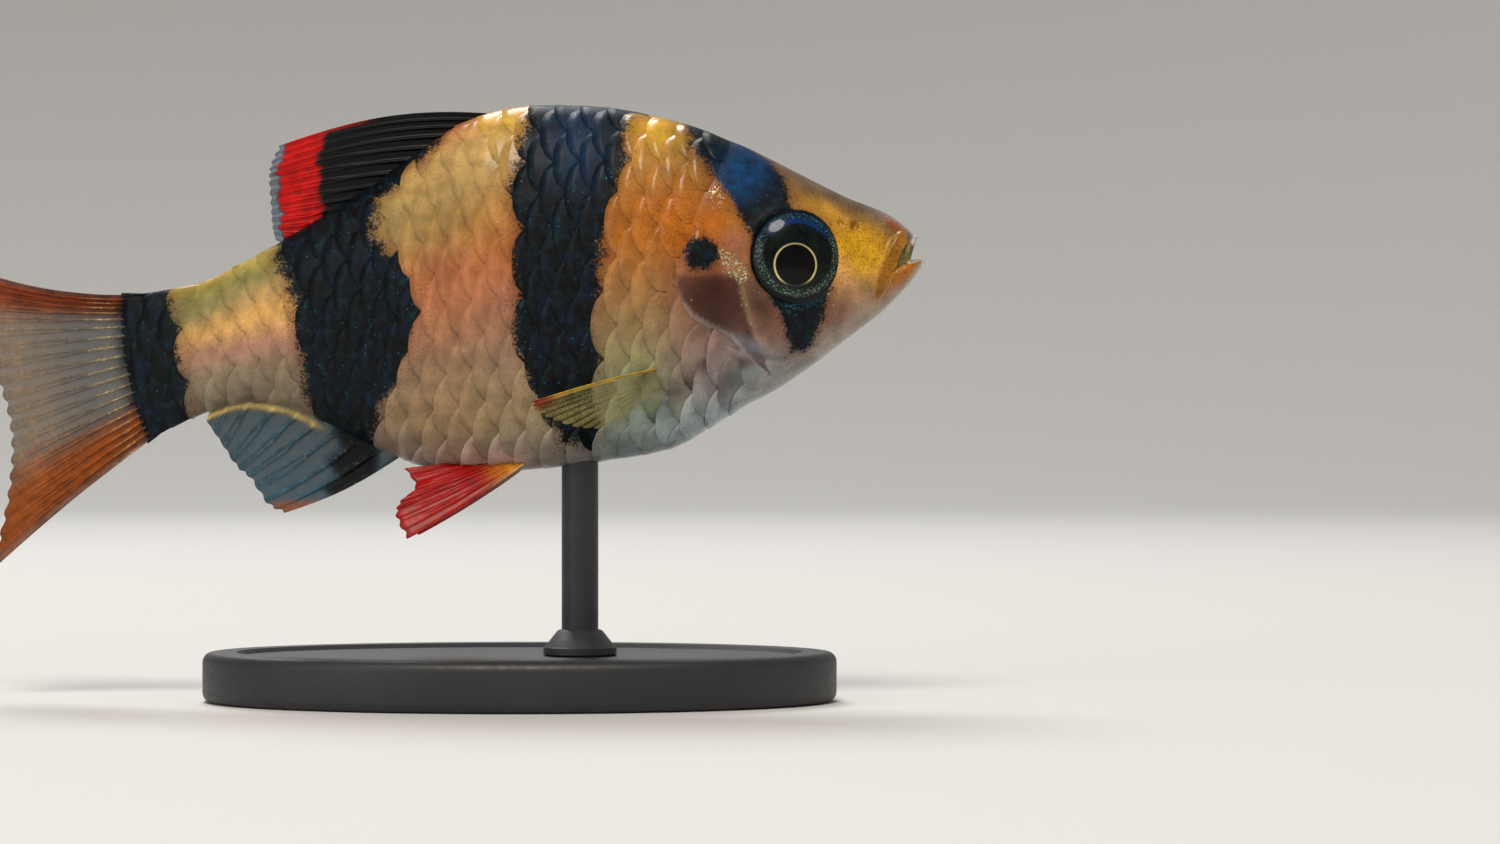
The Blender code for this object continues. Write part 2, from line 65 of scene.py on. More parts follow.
# Stations along the body, tail to snout, in millimetres: back point (x, z), belly point (x, z), half width.
STATIONS = (
    (-23.35, 24.55, -21.70, 16.05, 0.70),  # tail fin's root
    (-22.20, 24.66, -20.50, 16.60, 1.00),
    (-19.20, 25.24, -18.60, 17.36, 1.45),  # end of the anal fin's base
    (-16.80, 26.34, -16.20, 17.85, 1.80),
    (-14.70, 27.45, -14.10, 17.68, 2.15),  # end of the back fin's base
    (-12.60, 28.72, -12.30, 17.02, 2.50),
    (-10.50, 29.96, -10.50, 16.10, 2.85),
    (-8.10, 31.58, -8.20, 15.00, 3.30),
    (-6.00, 33.08, -6.30, 14.20, 3.65),  # vent
    (-3.90, 34.52, -4.20, 13.85, 3.95),
    (-1.80, 35.36, -1.80, 13.80, 4.25),  # start of the back fin's base
    (0.60, 35.78, 0.60, 13.85, 4.45),
    (3.00, 35.80, 3.00, 14.08, 4.50),
    (5.40, 35.66, 5.40, 14.42, 4.50),
    (7.80, 35.24, 7.50, 14.74, 4.40),
    (10.20, 34.62, 9.60, 15.30, 4.25),  # behind the gill cover
    (12.30, 33.80, 11.52, 16.42, 4.00),
    (14.40, 32.84, 13.50, 17.66, 3.62),
    (16.38, 31.84, 15.60, 18.82, 3.20),  # eye
    (18.30, 30.86, 17.52, 20.12, 2.78),
    (19.80, 30.14, 19.08, 21.32, 2.40),
    (21.00, 29.69, 20.40, 22.32, 2.08),  # nostrils
    (22.08, 29.22, 21.72, 23.32, 1.80),
    (22.80, 28.76, 22.80, 24.30, 1.56),
    (23.28, 28.40, 23.52, 25.08, 1.34),
    (23.62, 28.00, 24.00, 25.74, 1.05),  # lips
)


class Side(Enum):
    """Which side of the fish a paired piece is on, as the sign of its Y."""

    LEFT = 1
    RIGHT = -1

    @property
    def word(self) -> str:
        """The side's name as the nodes spell it."""
        return self.name.lower()


def linear(code: str) -> tuple[float, float, float]:
    """Turns an sRGB hex colour to the linear values that the shaders take.

    Args:
        code: Six hex digits after a hash.

    Returns:
        Linear red, green and blue.
    """
    values = [int(code[k : k + 2], 16) / 255 for k in (1, 3, 5)]
    return tuple(v / 12.92 if v <= 0.04045 else ((v + 0.055) / 1.055) ** 2.4 for v in values)


def through(rows: Line, at: Array) -> Array:
    """Reads a Catmull-Rom curve through rows of values.

    Args:
        rows: The values at each whole position.
        at: Positions counted in rows, of any shape.

    Returns:
        The values at those positions, with the shape of at and one more axis.
    """
    rows = np.asarray(rows, float)
    at = np.clip(np.asarray(at, float), 0, len(rows) - 1)
    padded = np.vstack([2 * rows[0] - rows[1], rows, 2 * rows[-1] - rows[-2]])
    first = np.minimum(at.astype(int), len(rows) - 2)
    t = (at - first)[..., None]
    a, b, c, d = (padded[first + k] for k in range(4))
    return 0.5 * (2 * b + (c - a) * t + (2 * a - 5 * b + 4 * c - d) * t**2 + (3 * b - a - 3 * c + d) * t**3)


def ease(low: float, high: float, value: Array) -> Array:
    """Rises smoothly from 0 at low to 1 at high, or falls where low is the larger."""
    t = np.clip((np.asarray(value, float) - low) / (high - low), 0, 1)
    return t * t * (3 - 2 * t)


def bell(value: Array, width: float) -> Array:
    """A smooth bump of height 1 at 0, down to about a third at the given width."""
    return np.exp(-((np.asarray(value, float) / width) ** 2))


def to_line(x: Array, z: Array, line: Line) -> tuple[Array, Array]:
    """Measures points of the side view against a polyline.

    Args:
        x: Lengths along the fish.
        z: Heights.
        line: Points (x, z) of the polyline.

    Returns:
        The distance to the line, positive on its left as it runs, and the share of the line's points passed.
    """
    best = np.full(np.shape(x), 1e9)
    signed = np.zeros(np.shape(x))
    passed = np.zeros(np.shape(x))
    for k, ((ax, az), (bx, bz)) in enumerate(zip(line, line[1:])):
        dx, dz = bx - ax, bz - az
        t = np.clip(((x - ax) * dx + (z - az) * dz) / (dx * dx + dz * dz), 0, 1)
        px, pz = x - ax - t * dx, z - az - t * dz
        distance = np.hypot(px, pz)
        nearer = distance < best
        best = np.where(nearer, distance, best)
        signed = np.where(nearer, distance * np.where(dx * pz - dz * px >= 0, 1, -1), signed)
        passed = np.where(nearer, (k + t) / (len(line) - 1), passed)
    return signed, passed


def between(z: Array, line: Line) -> Array:
    """Reads a polyline of (z, x) pairs, highest first, as x for each z."""
    return np.interp(-np.asarray(z, float), [-p[0] for p in line], [p[1] for p in line])


def deselect() -> None:
    """Leaves nothing selected, so that the next operator acts on its own piece alone."""
    if bpy.context.object is not None and bpy.context.object.mode != "OBJECT":
        bpy.ops.object.mode_set(mode="OBJECT")
    bpy.ops.object.select_all(action="DESELECT")


def pick(piece: bpy.types.Object) -> None:
    """Selects one piece and makes it active."""
    deselect()
    piece.select_set(True)
    bpy.context.view_layer.objects.active = piece


def weld(piece: bpy.types.Object, reach: float = 1e-7) -> None:
    """Merges points of a piece that lie together and turns its faces outwards."""
    pick(piece)
    bpy.ops.object.mode_set(mode="EDIT")
    bpy.ops.mesh.select_all(action="SELECT")
    bpy.ops.mesh.remove_doubles(threshold=reach)
    bpy.ops.mesh.dissolve_degenerate(threshold=reach)
    bpy.ops.mesh.select_all(action="SELECT")
    bpy.ops.mesh.normals_make_consistent(inside=False)
    bpy.ops.object.mode_set(mode="OBJECT")


def give(piece: bpy.types.Object, name: str, values: Array) -> None:
    """Stores numbers or colours on the points of a mesh.

    Args:
        piece: The mesh object.
        name: The attribute that a material reads.
        values: One number, or one linear colour, for each point.
    """
    if values.ndim == 1:
        layer = piece.data.attributes.new(name, "FLOAT", "POINT")
        layer.data.foreach_set("value", values.astype(np.float32))
    else:
        layer = piece.data.attributes.new(name, "FLOAT_COLOR", "POINT")
        full = np.concatenate([values, np.ones((len(values), 1))], axis=1)
        layer.data.foreach_set("color", full.astype(np.float32).ravel())


def tube_piece(name: str, points: Array, fields: dict[str, Array]) -> bpy.types.Object:
    """Makes a closed skin from rows of rings, started from a grid and wrapped round.

    Args:
        name: The piece's name.
        points: Rows of rings of points, in millimetres. The first and last ring should close on themselves.
        fields: Numbers or colours for each point, by attribute name.

    Returns:
        The piece, shaded smooth, with its own unwrap.
    """
    rows, columns = points.shape[0], points.shape[1] + 1
    deselect()
    bpy.ops.mesh.primitive_grid_add(x_subdivisions=columns - 1, y_subdivisions=rows - 1, size=2.0)
    piece = bpy.context.object
    piece.name = name
    flat = np.empty(len(piece.data.vertices) * 3)
    piece.data.vertices.foreach_get("co", flat)
    column = np.rint((flat[0::3] + 1) / 2 * (columns - 1)).astype(int) % (columns - 1)
    row = np.rint((flat[1::3] + 1) / 2 * (rows - 1)).astype(int)
    piece.data.vertices.foreach_set("co", (points[row, column] * MM).ravel())
    for field_name, values in fields.items():
        give(piece, field_name, values[row, column])
    weld(piece)
    piece.data.shade_smooth()
    piece.data.uv_layers[0].name = "OFBake"
    return piece


@dataclass(frozen=True)
class Flesh:
    """The body under the scales: the curves that the skin, the scales and the eyes all follow.

    Its sizes are those of the solids, in millimetres. Stations below 0 are the thin end that clasps the tail fin.
    """

    back_pinch: float = 1.12
    belly_pinch: float = 0.94
    widest: float = 1.08
    bend_from: float = -8.0
    bend: float = 0.006
    mouth_from: float = 21.0
    lips_at: float = 25.0
    corner: tuple[float, float, float] = (23.20, 1.36, 26.27)
    upper_tip: tuple[float, float] = (23.66, 27.80)
    lower_tip: tuple[float, float] = (24.08, 26.27)
    lip: float = 0.17
    clasp: float = 1.35  # how far the thin end reaches past the tail stalk
    clasp_drop: float = 0.60  # its fall at the lower edge, along the tail fin's own edge
    clasp_edge: float = 0.10  # its half width where it ends

    def planar(self, station: Array, angle: Array) -> Array:
        """Points of the body's sections, without the mouth or the swimming bend."""
        back_x, back_z, belly_x, belly_z, half = np.moveaxis(through(STATIONS, station), -1, 0)
        sine, cosine = np.sin(angle), np.cos(angle)
        rise = ((1 + sine) / 2) ** self.widest
        pinch = np.where(sine > 0, self.back_pinch, self.belly_pinch)
        end = np.clip(-station, 0, 1)
        half = self.clasp_edge + (half - self.clasp_edge) * np.cos(end * pi / 2)
        x = belly_x + (back_x - belly_x) * rise - self.clasp * end * (1 - 0.4 * sine**2)
        y = half * np.sign(cosine) * np.abs(cosine) ** pinch
        z = belly_z + (back_z - belly_z) * rise - self.clasp_drop * end * np.where(sine < 0, sine**2, 0)
        return np.stack([x, y, z], axis=-1)

    def rim(self, angle: Array) -> Array:
        """The line of the lips, round the open mouth."""
        sine = np.sin(angle)
        reach = np.abs(sine)
        x, y, z = self.corner
        upper_x = x + (self.upper_tip[0] - x) * reach**1.3
        lower_x = x + (self.lower_tip[0] - x) * reach
        upper_z = z + (self.upper_tip[1] - z) * reach
        lower_z = z + (self.lower_tip[1] - z) * reach + 0.10 * np.sin(pi * reach)
        top = sine > 0
        return np.stack([np.where(top, upper_x, lower_x), y * np.cos(angle), np.where(top, upper_z, lower_z)], -1)

    def lip_axes(self, angle: Array) -> tuple[Array, Array]:
        """The ways out of the mouth's rim: forward, and away from the mouth's middle."""
        forward = np.array([0.97, 0.0, 0.24])
        outward = np.stack([np.zeros_like(angle), np.cos(angle), np.sin(angle)], axis=-1)
        outward = outward - (outward @ forward)[..., None] * forward
        return forward, outward / np.linalg.norm(outward, axis=-1, keepdims=True)

    def surface(self, station: Array, angle: Array) -> Array:
        """Points of the skin before the swimming bend, drawn in at the mouth's corners.

        Args:
            station: Places along the body, counted in stations.
            angle: Turns round the body, from the left side over the back.

        Returns:
            Points in millimetres.
        """
        station, angle = np.broadcast_arrays(np.asarray(station, float), np.asarray(angle, float))
        _, outward = self.lip_axes(angle)
        goal = self.rim(angle) + self.lip * outward
        pull = ease(self.mouth_from, self.lips_at, station)[..., None]
        at_lips = self.planar(np.full(angle.shape, self.lips_at), angle)
        return self.planar(station, angle) + pull * (goal - at_lips)

    def normal(self, station: Array, angle: Array) -> Array:
        """Outward directions of the skin at places on it."""
        step, turn = 0.02, radians(0.5)
        along = self.surface(station + step, angle) - self.surface(station - step, angle)
        around = self.surface(station, angle + turn) - self.surface(station, angle - turn)
        out = np.cross(around, along)
        return out / np.maximum(np.linalg.norm(out, axis=-1, keepdims=True), 1e-12)

    def flank(self, angle: Array) -> Array:
        """How far each turn is on to the flank: 0 on the back's ridge and the belly's keel, where scales sink in."""
        return ease(0.02, 0.13, np.abs(np.cos(angle)))

    def swim(self, points: Array) -> Array:
        """Points with the tail swept to the fish's left, as the photo shows it."""
        bent = np.array(points, float)
        bent[..., 1] += self.bend * np.clip(self.bend_from - bent[..., 0], 0, None) ** 2
        return bent

    def half_width(self, x: float, z: float) -> float:
        """Half the body's width at a place of the side view."""
        stations = np.linspace(0, self.lips_at, 2001)
        back_x, back_z, belly_x, belly_z, half = np.moveaxis(through(STATIONS, stations), -1, 0)
        share = (z - belly_z) / (back_z - belly_z)
        nearest = int(np.argmin(np.abs(belly_x + (back_x - belly_x) * share - x)))
        level = 2 * np.clip(share[nearest], 0, 1) ** (1 / self.widest) - 1
        pinch = self.back_pinch if level > 0 else self.belly_pinch
        return float(half[nearest] * (1 - level * level) ** (pinch / 2))


@dataclass(frozen=True)
class Wash:
    """A soft patch of colour on the side view: a colour, its middle, its reach, its strength and its lean."""

    colour: str
    x: float
    z: float
    reach_x: float
    reach_z: float
    strength: float = 1.0
    lean: float = 0.0

    def share(self, x: Array, z: Array) -> Array:
        """How much of this colour shows at each place."""
        turn = radians(self.lean)
        dx, dz = x - self.x, z - self.z
        along = (dx * np.cos(turn) + dz * np.sin(turn)) / self.reach_x
        across = (dz * np.cos(turn) - dx * np.sin(turn)) / self.reach_z
        return self.strength * np.exp(-((along**2 + across**2) ** 1.5))


@dataclass(frozen=True)
class Strip:
    """A band of colour along a line of the side view, narrower towards its ends by a share."""

    colour: str
    line: Line
    width: float
    strength: float = 1.0
    taper: float = 0.0

    def share(self, x: Array, z: Array) -> Array:
        """How much of this colour shows at each place."""
        distance, passed = to_line(x, z, self.line)
        width = self.width * (1 - self.taper * (2 * passed - 1) ** 4)
        return self.strength * ease(1.0, 0.45, np.abs(distance) / width)


@dataclass(frozen=True)
class Wedge:
    """A crisp patch of colour on the left of two lines of the side view, up to a height."""

    colour: str
    first: Line
    second: Line
    top: float
    strength: float = 1.0

    def share(self, x: Array, z: Array) -> Array:
        """How much of this colour shows at each place."""
        first, _ = to_line(x, z, self.first)
        second, _ = to_line(x, z, self.second)
        return self.strength * ease(0.0, 0.1, first) * ease(0.0, 0.1, second) * ease(self.top, self.top - 0.4, z)


@dataclass(frozen=True)
class Bar:
    """A black bar, by its rear and front edges as (z, x) pairs from the back down, and where it ends."""

    rear: Line
    front: Line
    foot: float = 0.0

    def depth(self, x: Array, z: Array) -> Array:
        """How far inside the bar each place lies, negative outside."""
        inside = np.minimum(x - between(z, self.rear), between(z, self.front) - x)
        return np.minimum(inside, z - self.foot)


# Lines of the head in the side view (x, z), in millimetres.
GILL_EDGE = (
    (10.9, 28.3), (10.3, 27.5), (9.75, 26.2), (9.5, 25.0), (9.7, 24.0), (10.4, 23.0), (11.5, 22.4), (12.7, 21.8),
    (13.5, 21.0)
)
SCALE_EDGE = ((14.2, 35.8), (12.7, 31.5), (11.3, 29.2), *GILL_EDGE, (15.0, 17.0))
FORE_COVER = ((12.1, 26.9), (12.7, 26.0), (13.2, 25.2), (13.4, 24.2), (13.8, 22.6), (14.2, 21.6))
THROAT_FOLD = (
    (11.2, 22.6), (12.0, 21.8), (13.1, 21.1), (14.5, 20.5), (15.8, 20.45), (17.2, 21.0), (18.6, 21.9)
)
UPPER_JAW = ((23.05, 28.2), (22.6, 27.3), (22.1, 26.3), (21.7, 25.2), (21.4, 24.2))
MOUTH_FOLD = ((23.35, 27.6), (22.85, 27.05), (22.55, 26.4), (22.45, 25.75))
LOWER_LIP = ((22.35, 25.72), (23.1, 26.12), (24.1, 26.5))
EYE = (16.43, 26.55)


@dataclass(frozen=True)
class Markings:
    """The colours of the live fish over its side view, which skin and scales share."""

    bars: tuple[Bar, ...] = (
        Bar(
            rear=((34.9, 9.9), (33.0, 10.2), (31.4, 11.5), (30.3, 12.5), (29.2, 13.0), (28.2, 13.6), (26.0, 14.8),
                  (24.1, 14.9), (22.9, 15.6), (21.7, 16.0), (21.0, 16.2)),
            front=((34.9, 13.6), (33.0, 14.2), (32.0, 15.3), (31.0, 16.0), (29.6, 16.3), (26.0, 18.4), (24.7, 18.6),
                   (23.5, 18.3), (22.6, 18.1), (21.4, 17.5), (21.0, 17.1)),
            foot=20.9,
        ),
        Bar(
            rear=((36.2, 0.9), (33.1, 0.1), (30.7, -0.6), (28.3, 0.0), (25.3, -0.1), (21.7, 0.0), (18.7, 1.2),
                  (15.7, 2.7)),
            front=((36.2, 7.0), (32.5, 6.3), (28.9, 5.4), (25.3, 4.8), (21.7, 4.6), (18.1, 4.8), (15.7, 4.6)),
            foot=15.2,
        ),
        Bar(
            rear=((27.6, -15.1), (24.1, -13.3), (21.1, -13.2), (17.5, -12.4), (12.7, -11.2)),
            front=((35.6, -3.6), (33.2, -5.2), (31.2, -7.0), (30.1, -8.3), (28.0, -8.6), (26.8, -7.7), (25.8, -6.7),
                   (24.1, -5.9), (22.3, -5.9), (19.9, -6.7), (18.1, -8.1), (15.7, -8.7), (14.2, -8.4)),
        ),
        Bar(
            rear=((25.0, -26.4), (21.7, -25.6), (18.7, -24.6), (16.3, -23.6)),
            front=((25.0, -21.1), (21.7, -20.4), (18.7, -20.0), (17.0, -19.9)),
        ),
    )
    spot: tuple[float, float, float] = (10.9, 26.7, 1.08)
    richness: float = 1.2  # deepens every colour a little, as the clear slime over it does

    # Colours from the belly, 0, to the back, 1, at places along the body.
    ramps: tuple[tuple[float, tuple[tuple[float, str], ...]], ...] = (
        (-23.9, ((0.0, "#8a4a14"), (0.25, "#6b5a44"), (0.6, "#66645c"), (0.85, "#6b5a3c"), (1.0, "#8c4a1c"))),
        (-22.6, ((0.0, "#8a4a14"), (0.25, "#7c6c58"), (0.6, "#8a7c66"), (0.85, "#8a7a50"), (1.0, "#9c7a3c"))),
        (-20.5, ((0.0, "#8a7c66"), (0.25, "#978871"), (0.45, "#b98f78"), (0.58, "#d9a866"), (0.75, "#968e5e"),
                 (0.92, "#958a4e"), (1.0, "#b89c48"))),
        (-14.5, ((0.0, "#8a7c66"), (0.25, "#9d8a72"), (0.42, "#bb8a73"), (0.56, "#e0b069"), (0.68, "#cca066"),
                 (0.84, "#978e5c"), (1.0, "#bfa552"))),
        (-4.0, ((0.0, "#978a80"), (0.14, "#a68a66"), (0.3, "#a38468"), (0.46, "#b67c58"), (0.58, "#bd7a50"),
                (0.7, "#a8854e"), (0.82, "#b59660"), (0.92, "#c8a468"), (1.0, "#c8835a"))),
        (0.0, ((0.0, "#a29a95"), (0.14, "#a8926f"), (0.32, "#a5876d"), (0.47, "#b27a5e"), (0.6, "#c47c44"),
               (0.72, "#bd8a4e"), (0.85, "#c2a064"), (0.94, "#d0a65a"), (1.0, "#c67a48"))),
        (7.0, ((0.0, "#8e9a9c"), (0.12, "#98a088"), (0.3, "#9c9068"), (0.46, "#a88050"), (0.63, "#bd782c"),
               (0.74, "#b5742c"), (0.83, "#b5813f"), (0.92, "#d3a04c"), (0.97, "#e6b640"), (1.0, "#c28a30"))),
        (11.5, ((0.0, "#a3b0b2"), (0.15, "#a39a98"), (0.32, "#96756a"), (0.5, "#a8735c"), (0.66, "#c47a24"),
                (0.8, "#b0762c"), (0.93, "#8f7040"), (1.0, "#6f6456"))),
        (15.5, ((0.0, "#a0a3a0"), (0.12, "#9b9590"), (0.3, "#a37c68"), (0.5, "#ad8468"), (0.7, "#c99a4e"),
                (0.88, "#a27a3e"), (1.0, "#776a5c"))),
        (20.0, ((0.0, "#aba39a"), (0.18, "#a89484"), (0.38, "#b8935e"), (0.55, "#d6ad36"), (0.70, "#c8962c"),
                (0.86, "#86683a"), (1.0, "#6c5c50"))),
        (23.6, ((0.0, "#a9a69c"), (0.2, "#b5742a"), (0.45, "#b4802a"), (0.75, "#98703a"), (0.9, "#8a7a6c"),
                (1.0, "#a3a0a8"))),
    )

    washes: tuple[Wash | Strip | Wedge, ...] = (
        Wash("#dcae3c", 8.6, 34.0, 1.7, 0.9, 0.6),  # gold scales on the nape
        Wash("#e2bd55", -1.0, 34.9, 1.9, 0.8, 0.7),  # gold before the back fin
        Wash("#b8541f", 1.0, 27.0, 1.0, 2.6, 0.35),  # orange beside the second bar
        Wash("#d07c22", 9.6, 28.6, 1.7, 1.7, 0.75),  # orange over the gill cover
        Wash("#8a4a1c", 11.4, 30.5, 0.9, 1.6, 0.5),  # brown along the nape bar
        Wash("#9aa27c", 6.8, 18.2, 2.4, 1.6, 0.5),  # greenish flank behind the chest fin
        Wash("#b8c4c4", 9.5, 16.6, 3.2, 0.9, 0.55),  # pale blue of the throat
        Wash("#4d5a5c", 8.4, 17.4, 1.0, 0.45, 0.8),  # its grey-brown marbling
        Wash("#54423c", 10.6, 19.6, 1.1, 0.6, 0.85),
        Wash("#54423c", 12.3, 19.0, 1.0, 0.5, 0.8, 25),
        Wash("#4e403c", 9.2, 18.5, 0.7, 0.45, 0.75),
        Wash("#4e403c", 13.1, 20.2, 0.8, 0.4, 0.7, 15),
        Wash("#a3b6b6", 13.8, 19.6, 1.4, 0.4, 0.6, 28),
        Wash("#c9a79a", -1.2, 14.6, 3.2, 0.5, 0.5),  # white edge of the belly
        Wedge("#4c2824", GILL_EDGE, FORE_COVER[::-1], 25.6, 0.68),  # red-brown of the gills through their cover
        Wash("#3c1c18", 11.7, 23.9, 1.9, 1.7, 0.78, -30),
        Wash("#9a6a58", 12.9, 27.2, 1.1, 1.2, 0.7),
        Wash("#54402f", 14.4, 24.0, 0.8, 2.2, 0.85, 20),
        Wash("#8c8f96", 13.6, 21.2, 1.8, 0.6, 0.7, -20),
        Wash("#dcae24", 20.2, 26.9, 1.9, 1.6, 0.75, 20),  # gold cheek before the eye
        Wash("#d6a43c", 18.4, 29.3, 1.5, 0.6, 0.6, -28),
        Wash("#cfa080", 19.4, 25.4, 0.8, 1.5, 0.5, 25),
        Wash("#8a5e50", 18.9, 23.4, 1.2, 0.9, 0.7, 30),
        Wash("#9a5420", 22.5, 28.4, 0.75, 0.35, 0.75, -40),  # brown behind the upper lip
        Wash("#b5761e", 23.0, 25.6, 0.9, 0.42, 0.85, 35),
        Strip("#a8a67c", FORE_COVER, 0.30, 0.15, 0.5),  # green-gold line of the fore cover
        Strip("#c08e2c", UPPER_JAW, 0.62, 0.85, 0.75),
        Strip("#8f5c14", UPPER_JAW, 0.46, 0.65, 0.75),
        Wedge("#6f6a42", MOUTH_FOLD, LOWER_LIP, 27.5, 0.9),  # greenish skin of the mouth's corner
        Strip("#cfc9c4", ((22.8, 28.95), (23.3, 28.5), (23.75, 28.0), (23.6, 27.5)), 0.26, 0.75),
        Strip("#d8d2c0", ((23.3, 26.3), (24.15, 26.55), (24.2, 26.0)), 0.16, 0.8),
        Strip("#c9c2bb", GILL_EDGE[4:], 0.25, 0.34, 0.6),
    )

    def bar_depth(self, x: Array, z: Array) -> Array:
        """How far inside the nearest black bar each place lies, in millimetres, negative outside."""
        depth = self.bars[0].depth(x, z)
        for bar in self.bars[1:]:
            depth = np.maximum(depth, bar.depth(x, z))
        spot_x, spot_z, radius = self.spot
        return np.maximum(depth, radius - np.hypot(x - spot_x, z - spot_z))

    def colour(self, x: Array, z: Array, level: Array) -> Array:
        """The colour between the bars.

        Args:
            x: Lengths along the fish.
            z: Heights in the side view.
            level: Shares of the way from the belly to the back.

        Returns:
            Linear colours.
        """
        places = [place for place, _ in self.ramps]
        layers = []
        for _, ramp in self.ramps:
            shares = [share for share, _ in ramp]
            colours = np.array([linear(code) for _, code in ramp])
            layers.append(np.stack([np.interp(level, shares, colours[:, c]) for c in range(3)], axis=-1))
        where = np.interp(x, places, range(len(places)))
        first = np.minimum(where.astype(int), len(places) - 2)
        part = ease(0, 1, where - first)[..., None]
        stack = np.stack(layers)
        before = np.take_along_axis(stack, first[None, ..., None], axis=0)[0]
        after = np.take_along_axis(stack, first[None, ..., None] + 1, axis=0)[0]
        mixed = before * (1 - part) + after * part
        for wash in self.washes:
            share = wash.share(x, z)[..., None]
            mixed = mixed * (1 - share) + np.array(linear(wash.colour)) * share
        return mixed**self.richness

    def blue(self, x: Array, z: Array) -> Array:
        """Where the black shines blue: strongest on the nape and over the eye."""
        nape = Wash("#000000", 13.4, 31.6, 1.5, 1.9, 1.0, -40).share(x, z)
        second = Wash("#000000", 3.4, 33.6, 1.8, 2.6, 0.35).share(x, z)
        return np.clip(nape + second, 0, 1)

    def speckle(self, x: Array, z: Array) -> Array:
        """How thick the fine black specks lie."""
        near_bar = bell(self.bar_depth(x, z) + 0.2, 0.6) * 0.45
        snout = Wash("#000000", 20.6, 27.4, 2.6, 2.4, 0.85).share(x, z)
        jaws = Wash("#000000", 22.4, 26.1, 1.3, 2.0, 0.6, -15).share(x, z)
        shoulder = Wash("#000000", 9.4, 29.0, 1.8, 3.2, 0.5).share(x, z)
        return np.clip(near_bar + snout + jaws + shoulder, 0, 1)

    def glint(self, x: Array, z: Array) -> Array:
        """Where the skin carries bright metal flecks."""
        distance, passed = to_line(x, z, FORE_COVER)
        line = bell(distance, 0.36) * (0.85 - 0.25 * passed)
        upper = Wash("#000000", 12.8, 26.0, 1.0, 0.65, 1.3, -50).share(x, z)
        upper = upper + Wash("#000000", 11.9, 30.1, 0.7, 1.0, 0.9).share(x, z)
        ring = bell(np.hypot(x - EYE[0], z - EYE[1]) - 2.95, 0.25) * ease(27.0, 24.0, z)
        cheek = Wash("#000000", 16.8, 23.0, 1.6, 1.5, 0.35).share(x, z)
        brow = Wash("#000000", 18.3, 29.7, 1.8, 0.8, 0.6, -28).share(x, z)
        back = Wash("#000000", 8.8, 31.5, 2.4, 4.0, 0.3).share(x, z)
        return np.clip(line + upper + 0.75 * ring + cheek + brow + back, 0, 1)


